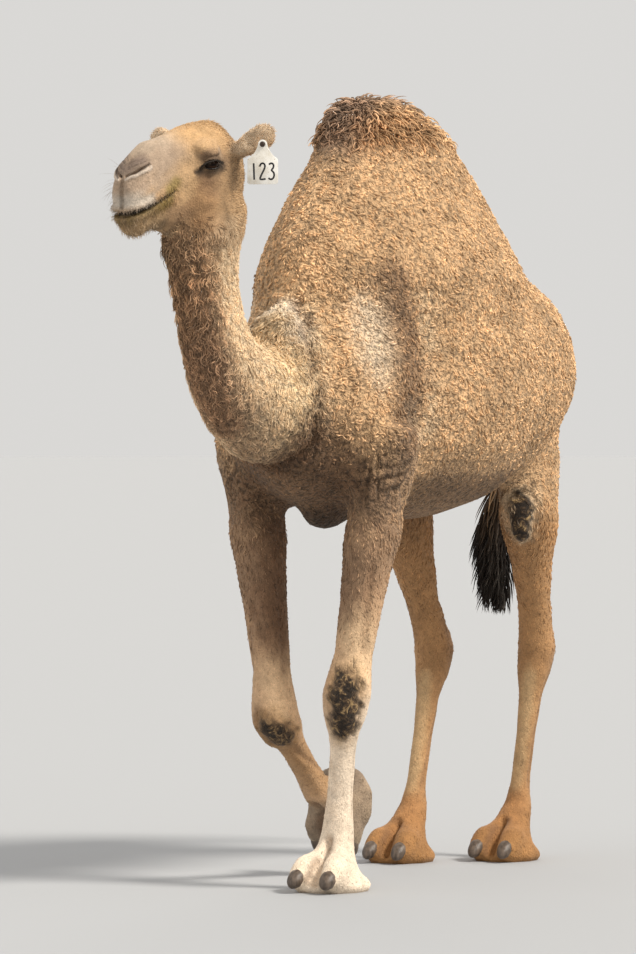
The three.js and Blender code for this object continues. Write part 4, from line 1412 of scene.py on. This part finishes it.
# %% Clumps of wool
heights = skin_points[:, 2]
crest_share = climb(heights, 1.885, 0.05) * mixed(shares, {"hump": 1})
near_elbow = np.min(
    [to_line(two_sided(skin_points), along_skin(line))[0] for line in elbow_wrinkles], axis=0)
bare = np.maximum(bell(near_elbow, 0.022, 4), horny)
wool_share = mixed(shares, {"trunk": 1, "hump": 1, "neck_lower": 1, "neck_upper": 0.6})
wool_share = np.clip(wool_share * (1 - crest_share) * 1.2 - 0.1, 0, 1) * (1 - 0.85 * bare)
clumps = gathered(scatter(wool_share, 0.0062, seed=11), 0.0215)
for name, part in split(clumps, [f"wool_{n}" for n in range(1, 6)]):
    full = np.clip(0.42 + (part["root"][:, 2] - 0.97) / 0.28, 0.42, 1) * (0.5 + 0.5 * part["weight"])
    grow(name, part, length=0.0175 * full, width=0.0036 * full**0.6, rise=0.62, fall=-0.50, turn=1.0,
         heading=0.40, rings=2, together=0.9, flat=0.6, root_in_shade=0.80, tip_bleach_and_highlight=1.75, vary=0.35,
         tone=0.10, pull=0.62, gap=0.80)

# %% [markdown]
# # Crest, neck and throat
# On the top of the hump the hair is a finger long and shaggy. Down the neck it hangs in waves, longest
# in front. Both are the same kind of lock as the wool, with more rings so that they can bend.

# %% The crest of the hump
crest_top = np.array([0.0, -0.02, 1.93])
crest_lie = unit(unit(skin_points - crest_top) * [1, 1, 0] + [0, 0.1, -0.25])
crest_hair = gathered(scatter(crest_share, 0.0058, seed=21, lie=crest_lie), 0.024)
grow("crest_hair", crest_hair, length=0.042, width=0.0028, rise=0.95, fall=-0.85, turn=0.9, wave=0.5,
     waves=1.2, heading=0.35, rings=5, root_in_shade=0.5, tip_bleach_and_highlight=1.4, vary=0.4, tone=0.25, pull=0.6,
     gap=0.7)

# %% Waves down the neck
waves_share = np.clip(neck_share * 1.3 - 0.2, 0, 1) * (0.55 + 0.45 * front_share(skin_normals))
waves = gathered(scatter(waves_share, 0.0045, seed=31), 0.026)
for name, part in split(waves, ["neck_waves_1", "neck_waves_2"], (0, 0, 1)):
    front = front_share(part["out"])
    high = climb(part["root"][:, 2], 1.15, 0.35)
    below_jaw = np.clip((-0.100 - to_head(part["root"])[:, 2]) / 0.10, 0.25, 1)
    full = front * (0.4 + 0.6 * high)
    grow(name, part, length=(0.020 + 0.024 * full) * below_jaw, width=0.0015, rise=0.62, fall=-0.50,
         turn=0.3, wave=0.80, heading=0.18, together=0.92, flat=0.8, root_in_shade=0.75, tip_bleach_and_highlight=1.60,
         tone=0.10, pull=0.75, gap=0.20 + 0.80 * full)

# %% [markdown]
# # Short hair of the legs, head and ears
# Here the hair is as short and flat as on a horse. The hide's bumps carry most of it; the tufts only
# break up the outline and catch the light, so they are thin, flat and small.

# %% Legs
leg_share = mixed(shares, {"foreleg": 1, "hindleg": 1, "forefoot": 0.8, "hindfoot": 0.8, "tail": 0.9,
                           "tail_tuft": 0.0, "toenail": 0.3})
off_sole = climb(heights, 0.010, 0.02)
leg_share = np.clip(leg_share * 1.2 - 0.08, 0, 1) * (1 - bare) * off_sole
legs = gathered(scatter(leg_share, 0.0062, seed=41), 0.0150)
for name, part in split(legs, ["leg_hair_1", "leg_hair_2"]):
    upper = climb(part["root"][:, 2], 0.50, 0.40)
    part["paint"] = part["paint"] * (1 + 0.25 * upper[:, None])
    grow(name, part, length=0.0095 + 0.008 * upper, width=0.0010 + 0.0020 * upper, rise=0.34,
         fall=-0.32, turn=0.4, heading=0.25, together=0.5, rings=2, flat=0.6, root_in_shade=0.85,
         tip_bleach_and_highlight=1.20, sink=0.0008, vary=0.35, pull=0.35, gap=0.45)

# %% Head
local = folded(to_head(skin_points))
open_skin = np.ones(len(skin_points))
from_eye = local - eye_centre
open_skin *= climb(np.linalg.norm(from_eye - [0.004, 0, 0], axis=1), 0.024, 0.006)
above, ahead_share = past_lip_line(local)
open_skin *= 1 - bell(above, 0.012) * (ahead_share > 0)
nose, _ = to_line(local, laid_on_skin(nostril))
open_skin *= climb(nose, 0.010, 0.006)
on_head = np.clip(mixed(shares, {"head": 1, "lower_jaw": 1, "eye": 1}) * 1.3 - 0.2, 0, 1)
on_head *= 1 - 0.9 * neck_share
muzzle_share = climb(local[:, 0], 0.10, 0.08)
fine_coat = scatter(on_head * open_skin * (1 - 0.3 * muzzle_share), 0.0028, seed=51)
forward, _, upward = to_head(fine_coat["root"]).T
behind = climb(-forward, 0.03, 0.06)
crown = climb(upward, 0.075, 0.035)
under = climb(-upward, 0.10, 0.06) * behind
grow("face_hair", fine_coat, length=0.0080 + 0.005 * behind + 0.008 * under + 0.004 * crown,
     width=0.00065 + 0.0002 * behind, rise=0.22 + 0.08 * behind + 0.25 * crown, fall=-0.28, turn=0.25,
     heading=0.2, together=0.4, rings=2, flat=0.6, root_in_shade=0.95, tip_bleach_and_highlight=1.12, sink=0.0005,
     vary=0.35, tone=0.15)

# %% Ears
ear_share = mixed(shares, {"ear": 1})
fuzz = scatter(ear_share, 0.0024, seed=61)
grow("ear_fuzz", fuzz, length=0.0105, width=0.0006, rise=0.42, fall=0.0, turn=0.4, heading=0.35,
     together=0.4, rings=3, flat=0.7, root_in_shade=0.75, tip_bleach_and_highlight=1.5, sink=0.0004, vary=0.45, tone=0.2)

# %% Throat
throat_line = [(-0.085, 0.035, -0.150), (-0.020, 0.045, -0.185), (0.050, 0.020, -0.175)]
distance, _ = to_line(local, throat_line)
throat = gathered(scatter(bell(distance, 0.042, 4) * (local[:, 2] < -0.115), 0.0046, seed=71), 0.018)
grow("throat_hair", throat, length=0.026, width=0.0012, rise=0.60, fall=-0.5, turn=0.5, wave=0.7,
     together=0.8, flat=0.8, root_in_shade=0.6, tip_bleach_and_highlight=1.6, vary=0.4, tone=0.22, pull=0.4, gap=0.5)

# %% Beard of the lips and whiskers
lip_fringe = bell(above + 0.016, 0.010) + 0.5 * bell(above - 0.012, 0.006)
lip_fringe = np.clip(lip_fringe, 0, 1) * (ahead_share > 0.02) * head_share_of(shares)
lip_lie = unit(coat_lie * [1, 0.3, 1] + [0, 0, -0.9])
beard = scatter(lip_fringe, 0.0023, seed=75, lie=lip_lie)
grow("lip_beard", beard, length=0.0110, width=0.0006, rise=0.60, fall=0.0, turn=0.3, heading=0.45,
     rings=2, flat=0.8, root_in_shade=0.85, tip_bleach_and_highlight=1.5, sink=0.0004, vary=0.5, tone=0.3)
chin_share = oval(local, (0.190, 0.0, -0.160), (0.045, 0.040, 0.020))
chin_hair = scatter(chin_share * head_share_of(shares), 0.0036, seed=76, lie=lip_lie)
chin_hair["paint"] = chin_hair["paint"] * 1.2 + 0.06
grow("chin_hair", chin_hair, length=0.013, width=0.0005, rise=0.75, fall=0.1, turn=0.4, heading=0.5,
     rings=3, flat=0.8, root_in_shade=0.8, tip_bleach_and_highlight=1.5, sink=0.0004, vary=0.5, tone=0.3)
whisker_share = oval(local, (0.205, 0.040, -0.065), (0.035, 0.030, 0.035))
whiskers = scatter(whisker_share * head_share_of(shares), 0.0120, seed=77, lie=lip_lie)
whiskers["paint"] = whiskers["paint"] * 0 + (0.30, 0.24, 0.18)
grow("whiskers", whiskers, length=0.034, width=0.0003, rise=1.0, fall=0.4, turn=0.3, heading=0.4,
     rings=4, root_in_shade=0.7, tip_bleach_and_highlight=1.2, sink=0.0003, vary=0.4)

# %% [markdown]
# # The tail
# The tail's short hair gives way to a brush of long, nearly black strands that hang past the hocks.

# %% The brush
tail_share = np.clip(mixed(shares, {"tail_tuft": 1}) * 1.2, 0, 1)
strands = scatter(tail_share, 0.0075, seed=81)
brush_end = 0.640  # height of the brush's tips above the floor
room = np.clip(strands["root"][:, 2] - brush_end, 0.01, 0.11)
grow("tail_brush", strands, length=room, width=0.0028, rise=0.30, fall=-0.05, turn=0.1, wave=0.22,
     waves=1.4, heading=0.10, root_in_shade=0.3, tip_bleach_and_highlight=0.6, vary=0.12, tone=0.5)

# %% [markdown]
# # Eyes
# A camel's eye is a dark ball with a broad iris and a long, level pupil, under a clear dome. The ball
# starts as a sphere, its front is raised into the dome, and its colours are painted by how far each
# point is from the line of sight.

# %% Eyeballs
gloss, tree = new_material("wet eye", {"Roughness": 0.16, "Specular IOR Level": 0.07})
surface(tree, add_node(tree, "Attribute", {}, attribute_name="coat colour").outputs["Color"])

for name, side in (("eye_left", 1), ("eye_right", -1)):
    mirror = np.array([1, side, 1])
    middle_of_eye = from_head(eye_centre * mirror)
    bpy.ops.mesh.primitive_uv_sphere_add(segments=40, ring_count=24, radius=eye_radius * 0.96)
    ball = bpy.context.object
    ball.name = name.replace("eye", "eyeball")
    sight = (eye_facing * mirror) @ head_axes
    upright = (eye_up * mirror) @ head_axes
    points = read(ball)
    toward = points @ sight / (eye_radius * 0.96)
    dome = climb(toward, 0.80, 0.20)
    points *= (1 + 0.05 * dome**0.7)[:, None]
    level_off = np.linalg.norm(np.cross(points, sight), axis=1) / eye_radius
    upward = points @ upright / eye_radius
    pupil = bell(np.hypot(level_off * 0.55, upward * 1.6), 0.26, 4)
    iris = bell(level_off, 0.60, 8)
    colours = np.array((0.014, 0.009, 0.007)) + iris[:, None] * np.array((0.022, 0.008, 0.002))
    colours = colours * (1 - 0.93 * (pupil * (toward > 0))[:, None])
    place(ball, points + middle_of_eye)
    store_colour(ball, np.clip(colours, 0.002, 1))
    bpy.ops.object.shade_smooth()
    ball.data.materials.append(gloss)
    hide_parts(name)
    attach(ball, "root")

# %% [markdown]
# # Lid rims and lashes
# Bare dark skin edges both lids, and the upper one carries a dense fringe. The rim is a thin rope laid
# round the opening; the lashes are locks rooted on it that point forward and down.

# %% Rims
lid_skin = finish("lid skin", 0.35, bump=0.0006, bump_scale=500, mottle=0.1, gloss=0.5)
rim_half = 0.0013
lash_count = 110


def rim_points(side, count, share=1.0):
    """Points round the opening of an eye, with the way out from the ball at each."""
    angle = np.linspace(0, 2 * np.pi * share, count, endpoint=share < 1)
    along = opening_half * 1.03 * np.cos(angle)
    over = np.where(np.sin(angle) > 0, lid_high, -lid_low) * np.sin(angle)
    radius = eye_radius + lid_thickness * 0.45
    # At the corners of the opening the root is of a negative number, so those points have no place.
    deep = np.sqrt(radius**2 - along**2 - over**2)
    spot = along[:, None] * eye_ahead + over[:, None] * eye_up + deep[:, None] * eye_facing
    mirror = np.array([1, side, 1])
    return from_head((eye_centre + spot) * mirror), unit((spot * mirror) @ head_axes)


def rope(name, points, thick, closed=False):
    """A round rope through these points, as a mesh."""
    curve = bpy.data.curves.new(name, "CURVE")
    curve.dimensions = "3D"
    spline = curve.splines.new("POLY")
    spline.points.add(len(points) - 1)
    spline.points.foreach_set("co", np.column_stack([points, np.ones(len(points))]).ravel())
    spline.use_cyclic_u = closed
    curve.bevel_depth = thick
    curve.bevel_resolution = 2
    curve.use_fill_caps = True
    piece = bpy.data.objects.new(name, curve)
    bpy.context.scene.collection.objects.link(piece)
    only(piece)
    bpy.ops.object.convert(target="MESH")
    bpy.ops.object.shade_smooth()
    return bpy.context.object


for word, side in (("left", 1), ("right", -1)):
    points, _ = rim_points(side, 49)
    rim = rope("lid_rim_" + word, points[:-1], rim_half, closed=True)
    store_colour(rim, np.tile((0.020, 0.013, 0.010), (len(rim.data.vertices), 1)))
    rim.data.materials.append(lid_skin)
    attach(rim, "root")

    points, outward = rim_points(side, lash_count, share=0.5)
    front = np.array(to_front)
    lash_seeds = {
        "root": points,
        "out": outward,
        "paint": np.tile((0.022, 0.014, 0.010), (lash_count, 1)),
        "lie": outward * 0.2 + [0, 0, -0.55] + front * 0.45,
        "map": skin_map[[skin.closest_point_on_mesh(Vector(point))[3] for point in points], 0],
        "random": np.random.default_rng(90 + side),
    }
    grow("lashes_" + word, lash_seeds, length=0.018, width=0.0008, rise=0.9, fall=0.5, turn=0.1,
         heading=0.15, rings=4, root_in_shade=1.0, tip_bleach_and_highlight=1.0, sink=0.0)

# %% [markdown]
# # Nails
# Each toe ends in a nail of grey-brown horn, rounded and grooved along its growth.

# %% Nails
horn, tree = new_material("horn", {"Roughness": 0.5})
growth = add_noise(tree, add_stretch(tree, coordinates(tree), (2, 2, 0.6)), 60, 4)
horn_colour = add_ramp(tree, growth, [(0.35, (0.060, 0.042, 0.030)), (0.68, (0.150, 0.108, 0.078))])
surface(tree, horn_colour, growth, 0.001)

nail_growth = 0.0050  # makes up for what the rounding takes off
for node in nails:
    nail = copy_of(node, node.replace("toenail", "nail"), nail_growth)
    apply(nail, "SUBSURF", levels=2, render_levels=2)
    apply(nail, "SMOOTH", factor=0.5, iterations=3)
    bpy.ops.object.shade_smooth()
    nail.data.materials.append(horn)
    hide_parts(node)
    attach(nail, "root")

# %% [markdown]
# # The ear tag
# A moulded plate of cream plastic hangs from the left ear on a stud, painted near black as the shade
# in the plate's hole. Its edges are softly rounded, it has picked up grains of dirt, and three plain
# digits are painted on it in black.

# %% Plate and stud
dirts = (  # scale of the noise, the range of it that shows, colour
    (28, 0.42, 0.75, (0.55, 0.47, 0.34, 1)),
    (190, 0.66, 0.70, (0.28, 0.15, 0.05, 1)),
)
plastic, tree = new_material("tag plastic", {"Roughness": 0.45})
where = coordinates(tree)
colour = (0.93, 0.90, 0.83, 1)
for scale, low, high, dirt in dirts:
    cover = add_spread(tree, add_noise(tree, where, scale, 3), low, high, to_high=0.7)
    colour = add_cover(tree, cover, colour, dirt)
surface(tree, colour)

# The stud is painted near black: painted shade of the hole in the plate.
stud_shade = finish("stud in painted shade", 0.5, bump=0.0003, bump_scale=600)

for node, name, edge in (("ear_tag", "tag_plate", 0.0008), ("ear_tag_stud", "tag_stud", 0.0006)):
    part = copy_of(node, name)
    apply(part, "BEVEL", width=edge, segments=2, limit_method="ANGLE", angle_limit=math.radians(40))
    bpy.ops.object.shade_smooth_by_angle(angle=math.radians(35))
    part.data.materials.append(plastic if node == "ear_tag" else stud_shade)
    # Only the stud's material reads this colour: painted shade of the hole.
    store_colour(part, np.tile((0.05, 0.032, 0.022), (len(part.data.vertices), 1)))
    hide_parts(node)
    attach(part, "root")

# %% [markdown]
# # Painted digits
# The digits are brush strokes about half a centimetre wide. Each is a rope drawn along the stroke in
# the plate's own plane and pressed flat against it, so it stays part of the surface at any angle.

# %% Digits
plate = read(bpy.data.objects["tag_plate"])
plate_middle = plate.mean(axis=0)
_, _, axes = np.linalg.svd(plate - plate_middle, full_matrices=False)
plate_up, plate_out = axes[0] * np.sign(axes[0][2]), axes[2]
plate_out = plate_out * -np.sign(plate_out[1])
plate_across = np.cross(plate_up, plate_out)
spans = (plate - plate_middle) @ np.array([plate_across, plate_up, plate_out]).T
plate_low, plate_high = spans.min(axis=0), spans.max(axis=0)
plate_side = (plate_low[0] + plate_high[0]) / 2
digit_line = plate_low[1] + 0.031  # height of the digits' middle on the plate
digit_pitch = 0.0215
stroke_half = 0.0023
pressed = 0.88  # share of the strokes' height that is pressed flat
strokes = [  # one digit after another, in millimetres from its middle
    [(-0.5, 20), (0, 8), (0.5, -8), (1, -20)],
    [
        (-7, 12), (-5, 18), (0, 20.5), (5, 18), (6.5, 12), (3, 3),
        (-3, -8), (-7, -18), (-4, -19.5), (2, -19), (7.5, -18),
    ],
    [
        (-6, 17), (0, 20.5), (6, 17), (5, 8), (-1, 3),
        (6, -2), (7.5, -10), (4, -18), (-2, -20), (-7, -16),
    ],
]
ink, tree = new_material("tag ink", {"Roughness": 0.55})
specks = add_node(tree, "TexNoise", {"Scale": 250}).outputs["Fac"]
surface(tree, add_ramp(tree, specks, [(0, (0.006, 0.006, 0.007)), (1, (0.030, 0.028, 0.028))]))
for number, stroke in enumerate(strokes):
    flat_points = np.array(stroke) / 1000 + [plate_side + (number - 1) * digit_pitch, digit_line]
    steps = np.linspace(0, len(stroke) - 1, 30)
    drawn = np.column_stack([np.interp(steps, range(len(stroke)), flat_points[:, n]) for n in range(2)])
    for _ in range(2):
        drawn[1:-1] = (drawn[:-2] + 2 * drawn[1:-1] + drawn[2:]) / 4
    path = plate_middle + drawn @ [plate_across, plate_up] + plate_high[2] * plate_out
    digit = rope(f"tag_digit_{number + 1}", path, stroke_half)
    points = read(digit)
    off_plate = (points - plate_middle) @ plate_out - plate_high[2]
    place(digit, points - (off_plate * pressed)[:, None] * plate_out)
    digit.data.materials.append(ink)
    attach(digit, "root")

# %% [markdown]
# # Size
# The dressed animal has to reach as far as the solids do, so both boxes are kept side by side.

# %% Finish
low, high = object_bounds()
print("reaches from", tuple(low), "to", tuple(high))
